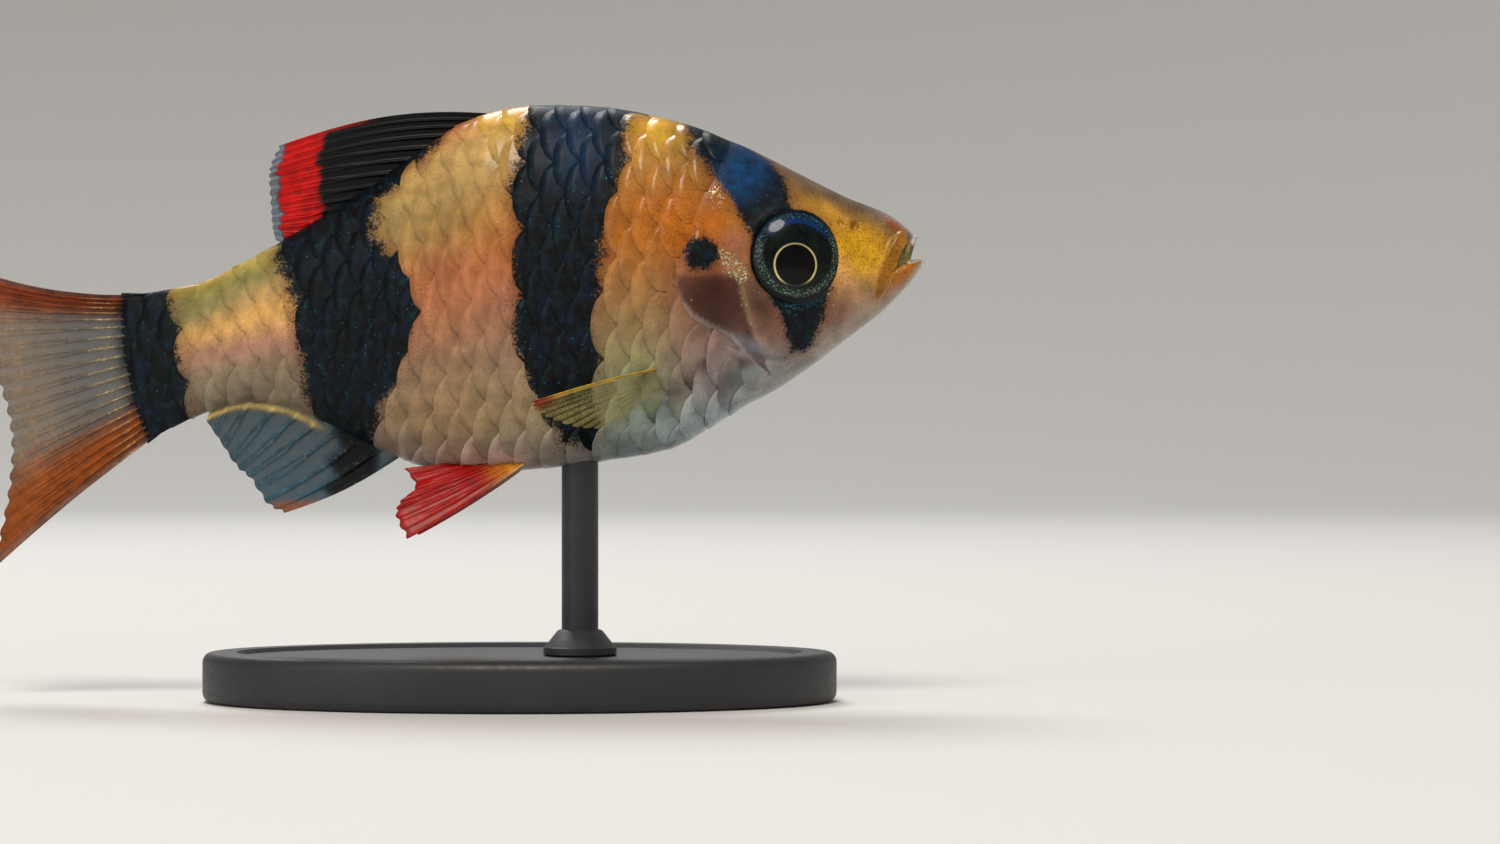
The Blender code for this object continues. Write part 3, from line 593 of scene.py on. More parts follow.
@dataclass(frozen=True)
class Relief:
    """The forms of the head's surface, as heights over the flesh in millimetres."""

    cover_rise: float = 0.17
    cover_groove: float = 0.09
    ridge_rise: float = 0.07
    jaw_rise: float = 0.13
    socket: tuple[float, float] = (2.64, 2.72)
    socket_rim: float = 0.05
    socket_brow: float = 0.10  # how much more the rim stands above and below the eye
    socket_dip: float = 0.13
    socket_floor: float = 1.3
    nostrils: tuple[tuple[float, float, float, float], ...] = (
        (20.05, 28.45, 0.27, -0.30), (19.62, 28.66, 0.20, 0.17), (19.22, 28.62, 0.22, -0.20)
    )

    def height(self, x: Array, z: Array) -> Array:
        """How far the skin stands over the flesh at each place of the side view."""
        made = self.gill_cover(x, z) + self.cheek(x, z) + self.mouth(x, z) + self.nose(x, z)
        return made * ease(8.0, 9.3, x) + self.orbit(x, z)

    def gill_cover(self, x: Array, z: Array) -> Array:
        """The gill cover's plate, with the groove behind its free edge."""
        distance, passed = to_line(x, z, GILL_EDGE)
        fade = ease(0.0, 0.12, passed) * ease(1.0, 0.9, passed)
        plate = self.cover_rise * ease(-0.14, 0.22, distance) * ease(3.4, 1.2, distance)
        groove = self.cover_groove * bell(distance + 0.21, 0.21)
        return (plate - groove) * fade

    def cheek(self, x: Array, z: Array) -> Array:
        """The ridge of the fore cover and the folds of the throat below it."""
        fore, fore_passed = to_line(x, z, FORE_COVER)
        fold, fold_passed = to_line(x, z, THROAT_FOLD)
        ridge = self.ridge_rise * ease(-0.05, 0.1, fore) * ease(1.4, 0.2, fore)
        crease = 0.05 * bell(fore + 0.12, 0.1)
        throat = 0.10 * bell(fold, 0.13) - 0.05 * bell(fold + 0.3, 0.16)
        ridge = (ridge - crease) * ease(0, 0.1, fore_passed) * ease(1, 0.9, fore_passed)
        return ridge - throat * ease(0, 0.12, fold_passed) * ease(1, 0.85, fold_passed)

    def mouth(self, x: Array, z: Array) -> Array:
        """The upper jaw's strip, the fold of skin before it and the line under the lower lip."""
        jaw, passed = to_line(x, z, UPPER_JAW)
        across = np.abs(jaw) / (1 - 0.6 * (2 * passed - 1) ** 4)
        strip = self.jaw_rise * ease(0.56, 0.22, across) - 0.05 * bell(across - 0.68, 0.16)
        fold, _ = to_line(x, z, MOUTH_FOLD)
        lip, lip_passed = to_line(x, z, LOWER_LIP)
        recess = -0.12 * ease(0.0, 0.16, fold) * ease(0.0, 0.16, lip) * ease(27.6, 27.2, z)
        seam = -0.13 * bell(lip - 0.02, 0.1) * ease(1.0, 0.5, lip_passed)
        rim = 0.05 * bell(lip + 0.22, 0.14)
        return strip * ease(0, 0.1, passed) * ease(1, 0.9, passed) + recess + seam + rim

    def nose(self, x: Array, z: Array) -> Array:
        """The two openings of a nostril and the flap between them."""
        made = np.zeros(np.shape(x))
        for place_x, place_z, radius, rise in self.nostrils:
            away = np.hypot(x - place_x, z - place_z)
            made = made + rise * ease(radius * 1.3, radius * 0.5, away) + 0.05 * bell(away - radius * 1.35, 0.09)
        return made

    def orbit(self, x: Array, z: Array) -> Array:
        """The eye's socket and the low rim of skin round it, which follows the eyeball where the head falls away."""
        rx, rz = self.socket
        away = np.hypot((x - EYE[0]) / rx, (z - EYE[1]) / rz)
        upright = ((z - EYE[1]) / rz) ** 2 / np.maximum(away, 0.1) ** 2
        rim = (self.socket_rim + self.socket_brow * upright) * bell((away - 1.06) * rx, 0.34)
        dip = self.socket_dip * ease(1.05, 0.985, away)
        return rim - dip - self.socket_floor * ease(0.985, 0.90, away)


def feed(tree: bpy.types.NodeTree, node: bpy.types.Node, inputs: dict[int | str, Any]) -> None:
    """Fills a node's inputs.

    Args:
        tree: The node tree.
        node: The node.
        inputs: For each socket, by name or number, a value, a hex colour or the output that feeds it.
    """
    for socket, value in inputs.items():
        if isinstance(value, bpy.types.NodeSocket):
            tree.links.new(value, node.inputs[socket])
        elif isinstance(value, str):
            node.inputs[socket].default_value = (*linear(value), 1.0)
        else:
            node.inputs[socket].default_value = value


def add_node(
    tree: bpy.types.NodeTree, kind: str, inputs: dict[int | str, Any] | None = None, out: int | str = 0,
    **settings: Any
) -> bpy.types.NodeSocket:
    """Adds a shader node with its settings and links.

    Args:
        tree: The material's node tree.
        kind: The node's type, without ShaderNode before it.
        inputs: What each input socket holds or is fed by.
        out: The output wanted, by name or number.
        settings: The node's own properties.

    Returns:
        That output.
    """
    node = tree.nodes.new("ShaderNode" + kind)
    for name, value in settings.items():
        setattr(node, name, value)
    feed(tree, node, inputs or {})
    return node.outputs[out]


def fresh_material(name: str) -> tuple[bpy.types.Material, bpy.types.NodeTree, bpy.types.Node]:
    """Starts a material with one Principled shader.

    Args:
        name: The finish's name.

    Returns:
        The material, its node tree and the shader.
    """
    made = bpy.data.materials.new(name)
    made.use_nodes = True
    return made, made.node_tree, made.node_tree.nodes["Principled BSDF"]


@dataclass(frozen=True)
class WetSkin:
    """Live, wet fish skin: pigment under a thin clear slime, which gives sharp small highlights."""

    name: str = "wet_fish_skin"
    roughness: float = 0.38
    coat: float = 0.36
    subsurface: float = 0.20
    depth: float = 0.45  # how far light creeps under the skin, in millimetres
    growth_rings: float = 0.13  # drawn coarser than the real 0.02 mm, so that they show
    scaly: bool = False

    def build(self) -> bpy.types.Material:
        """Makes the material, which reads the colours and depths stored on the mesh."""
        made, tree, shader = fresh_material(self.name)
        put = partial(add_node, tree)
        place = put("TexCoord", out="Object")
        wash = put("Attribute", out="Color", attribute_name="wash")
        bar = put("Attribute", out="Fac", attribute_name="bar")
        speckle = put("Attribute", out="Fac", attribute_name="speckle")
        blue = put("Attribute", out="Fac", attribute_name="blue")
        glint = put("Attribute", out="Fac", attribute_name="glint")
        cloud = put("TexNoise", {"Vector": place, "Scale": 1 / (1.1 * MM), "Detail": 3.0})
        patchy = put("TexNoise", {"Vector": place, "Scale": 1 / (0.55 * MM), "Detail": 3.0})
        grain = put("TexNoise", {"Vector": place, "Scale": 1 / (0.16 * MM), "Detail": 2.0})
        fine = put("TexNoise", {"Vector": place, "Scale": 1 / (0.07 * MM), "Detail": 2.0})

        # Mottled pigment.
        light = put("MapRange", {0: cloud, 1: 0.3, 2: 0.7, 3: 0.80, 4: 1.18}, **SMOOTH)
        mottle = put("MapRange", {0: grain, 1: 0.25, 2: 0.75, 3: 0.90, 4: 1.10}, **SMOOTH)
        light = put("Math", {0: light, 1: mottle}, operation="MULTIPLY")
        tone = put("CombineColor", {0: light, 1: light, 2: light})
        base = put("Mix", {0: 1.0, 6: wash, 7: tone}, 2, blend_type="MULTIPLY", **COLOUR)

        # Fine black specks, some 0.07 mm across.
        dots = put("TexVoronoi", {"Vector": place, "Scale": 1 / (0.115 * MM)})
        dot_cell = put("TexVoronoi", {"Vector": place, "Scale": 1 / (0.115 * MM)}, "Color")
        dot_pick = put("SeparateColor", {0: dot_cell})
        dot_pick = put("Math", {0: speckle, 1: dot_pick}, operation="SUBTRACT")
        dot_pick = put("MapRange", {0: dot_pick, 1: 0.0, 2: 0.05}, **SMOOTH)
        dots = put("MapRange", {0: dots, 1: 0.42, 2: 0.20}, **SMOOTH)
        dots = put("Math", {0: dots, 1: dot_pick}, operation="MULTIPLY")
        dots = put("Math", {0: dots, 1: 0.8}, operation="MULTIPLY")
        base = put("Mix", {0: dots, 6: base, 7: "#2a1808"}, 2, **COLOUR)

        # The bars, with a brown halo and an edge that breaks up into pigment cells.
        halo = put("MapRange", {0: bar, 1: -0.85, 2: 0.0, 3: 0.0, 4: 0.75}, **SMOOTH)
        halo = put("Math", {0: halo, 1: patchy}, operation="MULTIPLY")
        base = put("Mix", {0: halo, 6: base, 7: "#6b3a1a"}, 2, **COLOUR)
        ragged = put("Math", {0: patchy, 1: 0.7, 2: -0.35}, operation="MULTIPLY_ADD")
        ragged = put("Math", {0: grain, 1: 1.0, 2: ragged}, operation="MULTIPLY_ADD")
        ragged = put("Math", {0: fine, 1: 0.6, 2: ragged}, operation="MULTIPLY_ADD")
        ragged = put("Math", {0: bar, 1: ragged}, operation="ADD")
        black = put("MapRange", {0: ragged, 1: 0.60, 2: 1.06}, **SMOOTH)
        shimmer = put("TexNoise", {"Vector": place, "Scale": 1 / (0.5 * MM), "Detail": 4.0, "Roughness": 0.7})
        teal = put("MapRange", {0: shimmer, 1: 0.50, 2: 0.72, 3: 0.0, 4: 0.8}, **SMOOTH)
        ink = put("Mix", {0: teal, 6: "#030507", 7: "#0b3236"}, 2, **COLOUR)
        shimmer = put("TexNoise", {"Vector": place, "Scale": 1 / (0.8 * MM), "Detail": 3.0, "Roughness": 0.65})
        navy = put("MapRange", {0: shimmer, 1: 0.46, 2: 0.70, 3: 0.0, 4: 0.75}, **SMOOTH)
        ink = put("Mix", {0: navy, 6: ink, 7: "#081a30"}, 2, **COLOUR)
        nape = put("MapRange", {0: patchy, 1: 0.25, 2: 0.65, 3: 0.35, 4: 1.0}, **SMOOTH)
        nape = put("Math", {0: blue, 1: nape}, operation="MULTIPLY")
        ink = put("Mix", {0: nape, 6: ink, 7: "#053f6e"}, 2, **COLOUR)
        base = put("Mix", {0: black, 6: base, 7: ink}, 2, **COLOUR)

        # Bright guanine, as lone points and as dust: gold and green on the pale skin, blue in the black.
        cells = put("TexVoronoi", {"Vector": place, "Scale": 1 / (0.28 * MM)})
        cell_tint = put("TexVoronoi", {"Vector": place, "Scale": 1 / (0.28 * MM)}, "Color")
        point = put("MapRange", {0: cells, 1: 0.22, 2: 0.10}, **SMOOTH)
        chosen = put("SeparateColor", {0: cell_tint})
        limit = put("Math", {0: black, 1: -0.10, 2: 0.96}, operation="MULTIPLY_ADD")
        chosen = put("Math", {0: chosen, 1: limit}, operation="SUBTRACT")
        chosen = put("MapRange", {0: chosen, 1: 0.0, 2: 0.05}, **SMOOTH)
        fleck = put("Math", {0: point, 1: chosen}, operation="MULTIPLY")
        dust = put("TexNoise", {"Vector": place, "Scale": 1 / (0.15 * MM), "Detail": 3.0, "Roughness": 0.7})
        dust = put("Math", {0: glint, 1: 0.24, 2: dust}, operation="MULTIPLY_ADD")
        dust = put("MapRange", {0: dust, 1: 0.76, 2: 0.83}, **SMOOTH)
        fleck = put("Math", {0: fleck, 1: dust}, operation="MAXIMUM")
        tint = put("SeparateColor", {0: cell_tint}, 1)
        tint = put("Mix", {0: tint, 6: "#eedc94", 7: "#b4e4c4"}, 2, **COLOUR)
        tint = put("Mix", {0: black, 6: tint, 7: "#1a6f8c"}, 2, **COLOUR)
        fleck = put("Math", {0: fleck, 1: 0.85}, operation="MULTIPLY")
        base = put("Mix", {0: fleck, 6: base, 7: tint}, 2, **COLOUR)

        rough = put("MapRange", {0: cloud, 1: 0.3, 2: 0.7, 3: self.roughness - 0.06, 4: self.roughness + 0.08})
        rough = put("Math", {0: black, 1: 0.12, 2: rough}, operation="MULTIPLY_ADD")
        rough = put("Math", {0: fleck, 1: -0.14, 2: rough}, operation="MULTIPLY_ADD")
        metal = put("Math", {0: fleck, 1: 0.7}, operation="MULTIPLY")
        # The black pigment swallows light, so its shine is duller than that of the silvery skin.
        slime = put("MapRange", {0: black, 3: self.coat, 4: self.coat * 0.1})
        relief = put("Math", {0: fine, 1: 0.5, 2: grain}, operation="MULTIPLY_ADD")
        if self.scaly:
            growth = put("Attribute", out="Fac", attribute_name="growth")
            rings = put("Math", {0: growth, 1: 2 * pi / self.growth_rings}, operation="MULTIPLY")
            rings = put("Math", {0: rings}, operation="SINE")
            relief = put("Math", {0: rings, 1: 0.07, 2: relief}, operation="MULTIPLY_ADD")
        bump = put("Bump", {"Strength": 0.35, "Distance": 0.03 * MM, "Height": relief})
        feed(tree, shader, {
            "Base Color": base,
            "Roughness": rough,
            "Metallic": metal,
            "Normal": bump,
            "IOR": 1.36,
            "Specular IOR Level": 0.25,
            "Coat Weight": slime,
            "Coat Roughness": 0.16,
            "Coat IOR": 1.34,
            "Subsurface Weight": self.subsurface,
            "Subsurface Radius": (1.0, 0.55, 0.32),
            "Subsurface Scale": self.depth * MM,
        })
        return made


@dataclass
class Skin:
    """The fish's one skin: trunk, tail stalk, head and jaws without a seam, with the inside of the mouth."""

    flesh: Flesh
    markings: Markings
    relief: Relief
    tail_rings: int = 14
    trunk_rings: int = 124
    head_rings: int = 206
    lip_rings: int = 8
    mouth_rings: int = 18
    around: int = 236
    head_from: float = 15.0
    under_scales: float = 0.15
    mouth_depth: float = 3.4

    def outer(self) -> tuple[Array, Array]:
        """The skin from the tail to the lips: points, and the turns that they come from."""
        clasp = np.linspace(-1, 0, self.tail_rings, endpoint=False)
        behind = np.linspace(0, self.head_from, self.trunk_rings, endpoint=False)
        ahead = np.linspace(self.head_from, self.flesh.lips_at, self.head_rings)
        turns = np.linspace(-pi / 2, 3 * pi / 2, self.around, endpoint=False)
        station, angle = np.meshgrid(np.concatenate([clasp, behind, ahead]), turns, indexing="ij")
        points = self.flesh.surface(station, angle)
        x, z = points[..., 0], points[..., 2]
        edge, _ = to_line(x, z, SCALE_EDGE)
        scaled = ease(0.2, -1.5, edge) * (0.5 + 0.5 * self.flesh.flank(angle)) * ease(-0.5, 1.0, station)
        height = self.relief.height(x, z) - self.under_scales * scaled
        still_lips = ease(self.flesh.lips_at, self.flesh.lips_at - 0.5, station)
        points = points + self.flesh.normal(station, angle) * (height * still_lips)[..., None]
        return points, angle

    def inner(self, turns: Array) -> Array:
        """The lips' roll and the mouth's lining, back to the throat."""
        rim = self.flesh.rim(turns)
        forward, outward = self.flesh.lip_axes(turns)
        rings = []
        for k in range(1, self.lip_rings + 1):
            turn = pi / 2 - pi * k / self.lip_rings
            rings.append(rim + self.flesh.lip * (np.sin(turn) * outward + np.cos(turn) * forward))
        middle = rings[-1].mean(axis=0)
        for share in np.linspace(0, 1, self.mouth_rings + 1)[1:]:
            narrow = (1 - 0.35 * share) * np.sqrt(max(1 - share**4, 0.0))
            back = np.array([-self.mouth_depth * share, 0.0, -0.9 * share])
            rings.append(middle + back + (rings[self.lip_rings - 1] - middle) * narrow)
        return np.stack(rings)

    def build(self) -> bpy.types.Object:
        """Makes the skin, stores its markings and gives it its finish."""
        outer, angle = self.outer()
        inner = self.inner(angle[0])
        tail = outer[:1] * np.array([1.0, 0.0, 1.0])
        points = np.concatenate([tail, outer, inner])
        x, z = points[..., 0], points[..., 2]
        inside = np.zeros(x.shape)
        inside[1 + len(outer) + self.lip_rings // 2 :] = 1.0
        level = np.broadcast_to(((1 + np.sin(angle[0])) / 2) ** self.flesh.widest, x.shape)
        colour = self.markings.colour(x, z, level)
        lining = np.array(linear("#5f4a30"))
        colour = colour * (1 - inside[..., None]) + lining * inside[..., None]
        fields = {
            "wash": colour,
            "bar": self.markings.bar_depth(x, z) - 9.0 * inside,
            "speckle": self.markings.speckle(x, z) * (1 - inside),
            "blue": self.markings.blue(x, z),
            "glint": self.markings.glint(x, z) * (1 - inside),
        }
        piece = tube_piece("skin", self.flesh.swim(points), fields)
        piece.data.materials.append(WetSkin().build())
        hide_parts("head", "lower_jaw", "gill_cover_left", "gill_cover_right", "trunk", "tail_stalk")
        return piece


@dataclass
class Scales:
    """The coat of large, overlapping round scales on each flank, in staggered rows."""

    flesh: Flesh
    markings: Markings
    column_step: float = 1.56
    row_step: float = 2.02
    tail_row_step: float = 1.62
    front_reach: float = 1.25
    rear_reach: float = 1.24
    half_height: float = 1.03  # as a share of the row step
    lift: float = 0.18  # rise from the buried front edge to the free rear edge
    sink: float = 0.165
    dome: float = 0.035
    thickness: float = 0.045
    hem: float = 0.7  # the strip beside the ridge and the keel that takes up what would cross over
    length_cells: int = 4
    height_cells: int = 8
    first_along: float = 1.45
    own_colour: float = 0.45  # how much of a scale's colour is that of its middle
    seed: int = 7

    def __post_init__(self) -> None:
        """Measures the flank once, so that scales can be set by lengths along and round it."""
        self.station_table = np.linspace(-0.95, 17.5, 739)
        angles = np.radians(np.linspace(-150, 150, 601))
        points = self.flesh.surface(self.station_table[:, None], angles[None, :])
        middle = len(angles) // 2
        steps = np.linalg.norm(np.diff(points, axis=1), axis=-1)
        arcs = np.concatenate([np.zeros((len(points), 1)), np.cumsum(steps, axis=1)], axis=1)
        arcs -= arcs[:, middle : middle + 1]
        lateral = points[:, middle]
        self.along_table = np.concatenate([[0], np.cumsum(np.linalg.norm(np.diff(lateral, axis=0), axis=1))])
        self.arc_grid = np.linspace(-18, 18, 721)
        self.angle_table = np.stack([np.interp(self.arc_grid, row, angles) for row in arcs])
        self.back_arc = np.array([np.interp(pi / 2, angles, row) for row in arcs])
        self.belly_arc = np.array([np.interp(-pi / 2, angles, row) for row in arcs])

    def locate(self, along: Array, arc: Array) -> tuple[Array, Array]:
        """Turns lengths along and round the flank to stations and turns."""
        station = np.interp(along, self.along_table, self.station_table)
        top = np.interp(station, self.station_table, self.back_arc) - self.hem
        foot = np.interp(station, self.station_table, self.belly_arc) + self.hem
        arc = np.where(arc > top, top + self.hem * (1 - np.exp(-np.maximum(arc - top, 0) / self.hem)), arc)
        arc = np.where(arc < foot, foot - self.hem * (1 - np.exp(-np.maximum(foot - arc, 0) / self.hem)), arc)
        row = np.interp(station, self.station_table, np.arange(len(self.station_table)))
        column = np.clip((arc - self.arc_grid[0]) / (self.arc_grid[1] - self.arc_grid[0]), 0, len(self.arc_grid) - 2)
        low_row = np.minimum(row.astype(int), len(self.station_table) - 2)
        low_column = column.astype(int)
        down, right = row - low_row, column - low_column
        table = self.angle_table
        near = table[low_row, low_column] * (1 - right) + table[low_row, low_column + 1] * right
        far = table[low_row + 1, low_column] * (1 - right) + table[low_row + 1, low_column + 1] * right
        return station, near * (1 - down) + far * down

    def centres(self) -> list[tuple[float, float, float, int, int]]:
        """The middle of each scale of one flank: lengths along and round, the row step, the row and the column."""
        found = []
        for column in range(int(self.along_table[-1] / (self.column_step / 2))):
            along = self.first_along + column * self.column_step / 2
            station = float(np.interp(along, self.along_table, self.station_table))
            step = self.tail_row_step + (self.row_step - self.tail_row_step) * float(ease(2.0, 8.0, station))
            top = float(np.interp(station, self.station_table, self.back_arc))
            foot = float(np.interp(station, self.station_table, self.belly_arc))
            for row in range(-9, 10):
                arc = row * step
                if (row + column) % 2 or arc > top - 0.15 * step or arc < foot + 0.15 * step:
                    continue
                place = self.flesh.surface(*self.locate(np.array([along]), np.array([arc])))[0]
                if not self.bare(float(place[0]), float(place[2])):
                    found.append((along, arc, step, row, column))
        return found

    def bare(self, x: float, z: float) -> bool:
        """True where the head's bare skin begins."""
        edge, _ = to_line(np.array(x), np.array(z), SCALE_EDGE)
        return bool(edge > -0.55)

    def build(self, side: Side) -> bpy.types.Object:
        """Makes the coat of one flank as one mesh of closed plates.

        Args:
            side: The flank.

        Returns:
            The coat, with its markings and its finish.
        """
        random = np.random.default_rng(self.seed + side.value)
        centres = self.centres()
        along_cells, tall_cells = self.length_cells, self.height_cells
        p = np.linspace(0, 1, along_cells + 1)[:, None] * np.ones((1, tall_cells + 1))
        q = np.sin(np.linspace(-pi / 2, pi / 2, tall_cells + 1))[None, :] * np.ones((along_cells + 1, 1))
        reach = np.sqrt(np.clip(1 - np.abs(q) ** 2.3, 0.0, 1)) * 0.985 + 0.015
        points = []
        stores: dict[str, list[Array]] = {"wash": [], "bar": [], "speckle": [], "blue": [], "glint": [], "growth": []}
        for along, arc, step, _, _ in centres:
            grow = 1 + random.uniform(-0.03, 0.03)
            tilt = random.uniform(-0.01, 0.01)
            high = self.half_height * step * grow
            front, rear = self.front_reach * grow, self.rear_reach * grow * (0.9 + 0.1 * step / self.row_step)
            offset = front * reach - (front + rear) * p * reach
            lengths = np.clip(along + offset, 0, self.along_table[-1])
            station, angle = self.locate(lengths, arc + q * high)
            surface = self.flesh.surface(station, angle)
            normal = self.flesh.normal(station, angle)
            share = (front - offset) / (front + rear)
            flank = self.flesh.flank(angle)
            rise = self.lift * share - self.sink + self.dome * (1 - q**2) + tilt * q
            rise = rise * flank - 0.05 * (1 - flank)
            thin = self.thickness * np.sqrt(np.clip(1 - np.abs(q) ** 3, 0, 1)) * (1 - 0.55 * p)
            points.append(np.stack([surface + normal * rise[..., None], surface + normal * (rise - thin)[..., None]]))
            x, z = surface[..., 0], surface[..., 2]
            middle = surface[along_cells // 2 + 1, tall_cells // 2]
            own_x = x + (middle[0] - x) * self.own_colour
            own_z = z + (middle[2] - z) * self.own_colour
            level = ((1 + np.sin(angle)) / 2) ** self.flesh.widest
            tone = 1 + random.uniform(-0.08, 0.08)
            # Painted light and shade: each scale's free rear edge is painted lighter, as a highlight, and its buried
            # front darker, as the shadow of the scale that lies over it.
            painted_edge_light_and_shade = 1 + 0.14 * ease(0.55, 1.0, share) - 0.22 * ease(0.62, 0.30, share)
            values = {
                "wash": np.clip(self.markings.colour(own_x, own_z, level) * (tone * painted_edge_light_and_shade)[..., None], 0, 1),
                "bar": self.markings.bar_depth(own_x, own_z) + random.uniform(-0.12, 0.12),
                "speckle": self.markings.speckle(x, z),
                "blue": self.markings.blue(x, z),
                "glint": self.markings.glint(x, z) * 0.8,
                "growth": np.hypot(offset - 0.2, q * high * 0.8),
            }
            for name, store in stores.items():
                store.append(np.stack([values[name], values[name]]))
        piece = self.plates(f"scales_{side.word}", np.array(points), centres, side)
        for name, store in stores.items():
            full = np.array(store)
            give(piece, name, full.reshape(-1, 3) if name == "wash" else full.reshape(-1))
        weld(piece)
        piece.data.shade_smooth()
        piece.data.materials.append(WetSkin("wet_fish_scales", roughness=0.36, coat=0.40, scaly=True).build())
        return piece

    def plates(self, name: str, points: Array, centres: list, side: Side) -> bpy.types.Object:
        """Joins the plates of one coat and gives each its own patch of the unwrap.

        Args:
            name: The coat's name.
            points: For each scale its top and under side, as grids of points.
            centres: Where each scale sits, as centres gives it.
            side: The flank.

        Returns:
            The coat, its points in the order of the points given.
        """
        count, _, rows, columns, _ = points.shape
        if side is Side.RIGHT:
            points = points * np.array([1.0, -1.0, 1.0])
        points = self.flesh.swim(points)
        index = np.arange(2 * rows * columns).reshape(2, rows, columns)
        quads, spots = [], []
        u, v = np.meshgrid(np.linspace(0, 1, rows), np.linspace(0, 1, columns), indexing="ij")
        corner_u = np.stack([0.02 + 0.60 * u, 0.66 + 0.30 * u])
        corner_v = np.stack([0.04 + 0.92 * v, 0.04 + 0.92 * v])
        for face, turn in ((0, 1), (1, -1)):
            for r in range(rows - 1):
                for c in range(columns - 1):
                    loop = [(face, r, c), (face, r + 1, c), (face, r + 1, c + 1), (face, r, c + 1)][::turn]
                    quads.append([index[k] for k in loop])
                    spots.append([(corner_u[k], corner_v[k]) for k in loop])
        rim = [(0, c) for c in range(columns)] + [(r, columns - 1) for r in range(1, rows)]
        rim += [(rows - 1, c) for c in range(columns - 2, -1, -1)] + [(r, 0) for r in range(rows - 2, 0, -1)]
        for (r, c), (s, d) in zip(rim, rim[1:] + rim[:1]):
            quads.append([index[0, r, c], index[0, s, d], index[1, s, d], index[1, r, c]])
            here, there = corner_u[0, r, c], corner_u[0, s, d]
            low, high = corner_v[0, r, c], corner_v[0, s, d]
            spots.append([(here, low), (there, high), (there + 0.01, high), (here + 0.01, low)])
        quads, spots = np.array(quads), np.array(spots)
        faces = (quads[None] + (np.arange(count) * index.size)[:, None, None]).reshape(-1, 4)
        mesh = bpy.data.meshes.new(name)
        mesh.from_pydata((points.reshape(-1, 3) * MM).tolist(), [], faces.tolist())
        unwrap = mesh.uv_layers.new(name="OFBake")
        column_count = max(c[4] for c in centres) / 2 + 1.5
        corners = np.empty((count, len(spots), 4, 2))
        for k, (_, _, _, row, column) in enumerate(centres):
            corners[k, ..., 0] = (column / 2 + spots[..., 0]) / column_count
            corners[k, ..., 1] = (row + 9 + spots[..., 1]) / 19
        unwrap.data.foreach_set("uv", corners.reshape(-1).astype(np.float32))
        piece = bpy.data.objects.new(name, mesh)
        bpy.context.scene.collection.objects.link(piece)
        return piece


@dataclass(frozen=True)
class FinMembrane:
    """Clear skin stretched over bony rays, wet on both faces: see-through between the rays."""

    name: str
    roughness: float = 0.42
    segment: float = 0.42  # length of a ray's joints, in millimetres

    def build(self) -> bpy.types.Material:
        """Makes the material, which reads the colours, the rays and the clearness stored on the mesh."""
        made, tree, shader = fresh_material(self.name)
        put = partial(add_node, tree)
        place = put("TexCoord", out="Object")
        wash = put("Attribute", out="Color", attribute_name="wash")
        ray = put("Attribute", out="Fac", attribute_name="ray")
        reach = put("Attribute", out="Fac", attribute_name="reach")
        solid = put("Attribute", out="Fac", attribute_name="solid")
        glint = put("Attribute", out="Fac", attribute_name="glint")
        cloud = put("TexNoise", {"Vector": place, "Scale": 1 / (0.7 * MM), "Detail": 3.0, "Roughness": 0.6})
        grain = put("TexNoise", {"Vector": place, "Scale": 1 / (0.12 * MM), "Detail": 2.0})
        wave = put("Math", {0: reach, 1: 2 * pi / self.segment}, operation="MULTIPLY")
        wave = put("Math", {0: wave}, operation="SINE")
        joint = put("MapRange", {0: wave, 1: 0.72, 2: 0.98}, **SMOOTH)
        joint = put("Math", {0: joint, 1: ray}, operation="MULTIPLY")

        light = put("MapRange", {0: cloud, 1: 0.28, 2: 0.72, 3: 0.74, 4: 1.22}, **SMOOTH)
        ray_light = put("MapRange", {0: ray, 3: 0.84, 4: 1.18})
        light = put("Math", {0: light, 1: ray_light}, operation="MULTIPLY")
        joint_light = put("MapRange", {0: joint, 3: 1.0, 4: 0.74})
        light = put("Math", {0: light, 1: joint_light}, operation="MULTIPLY")
        tone = put("CombineColor", {0: light, 1: light, 2: light})
        base = put("Mix", {0: 1.0, 6: wash, 7: tone}, 2, blend_type="MULTIPLY", **COLOUR)
        cells = put("TexVoronoi", {"Vector": place, "Scale": 1 / (0.26 * MM)})
        fleck = put("MapRange", {0: cells, 1: 0.42, 2: 0.15}, **SMOOTH)
        fleck = put("Math", {0: fleck, 1: glint}, operation="MULTIPLY")
        fleck = put("Math", {0: fleck, 1: ray}, operation="MULTIPLY")
        base = put("Mix", {0: fleck, 6: base, 7: "#f0dcae"}, 2, **COLOUR)

        clear = put("MapRange", {0: cloud, 1: 0.25, 2: 0.75, 3: 0.88, 4: 1.10})
        clear = put("Math", {0: solid, 1: clear}, operation="MULTIPLY")
        clear = put("Math", {0: ray, 1: 0.28, 2: clear}, operation="MULTIPLY_ADD")
        clear = put("Clamp", {0: clear})
        rough = put("MapRange", {0: grain, 1: 0.3, 2: 0.7, 3: self.roughness - 0.05, 4: self.roughness + 0.1})
        relief = put("Math", {0: grain, 1: 0.5}, operation="MULTIPLY")
        relief = put("Math", {0: relief, 1: joint}, operation="SUBTRACT")
        bump = put("Bump", {"Strength": 0.35, "Distance": 0.03 * MM, "Height": relief})
        feed(tree, shader, {
            "Base Color": base,
            "Alpha": clear,
            "Roughness": rough,
            "Normal": bump,
            "IOR": 1.34,
            "Specular IOR Level": 0.3,
            "Coat Weight": 0.08,
            "Coat Roughness": 0.15,
            "Subsurface Weight": 0.12,
            "Subsurface Radius": (1.0, 0.5, 0.3),
            "Subsurface Scale": 0.25 * MM,
        })
        return made


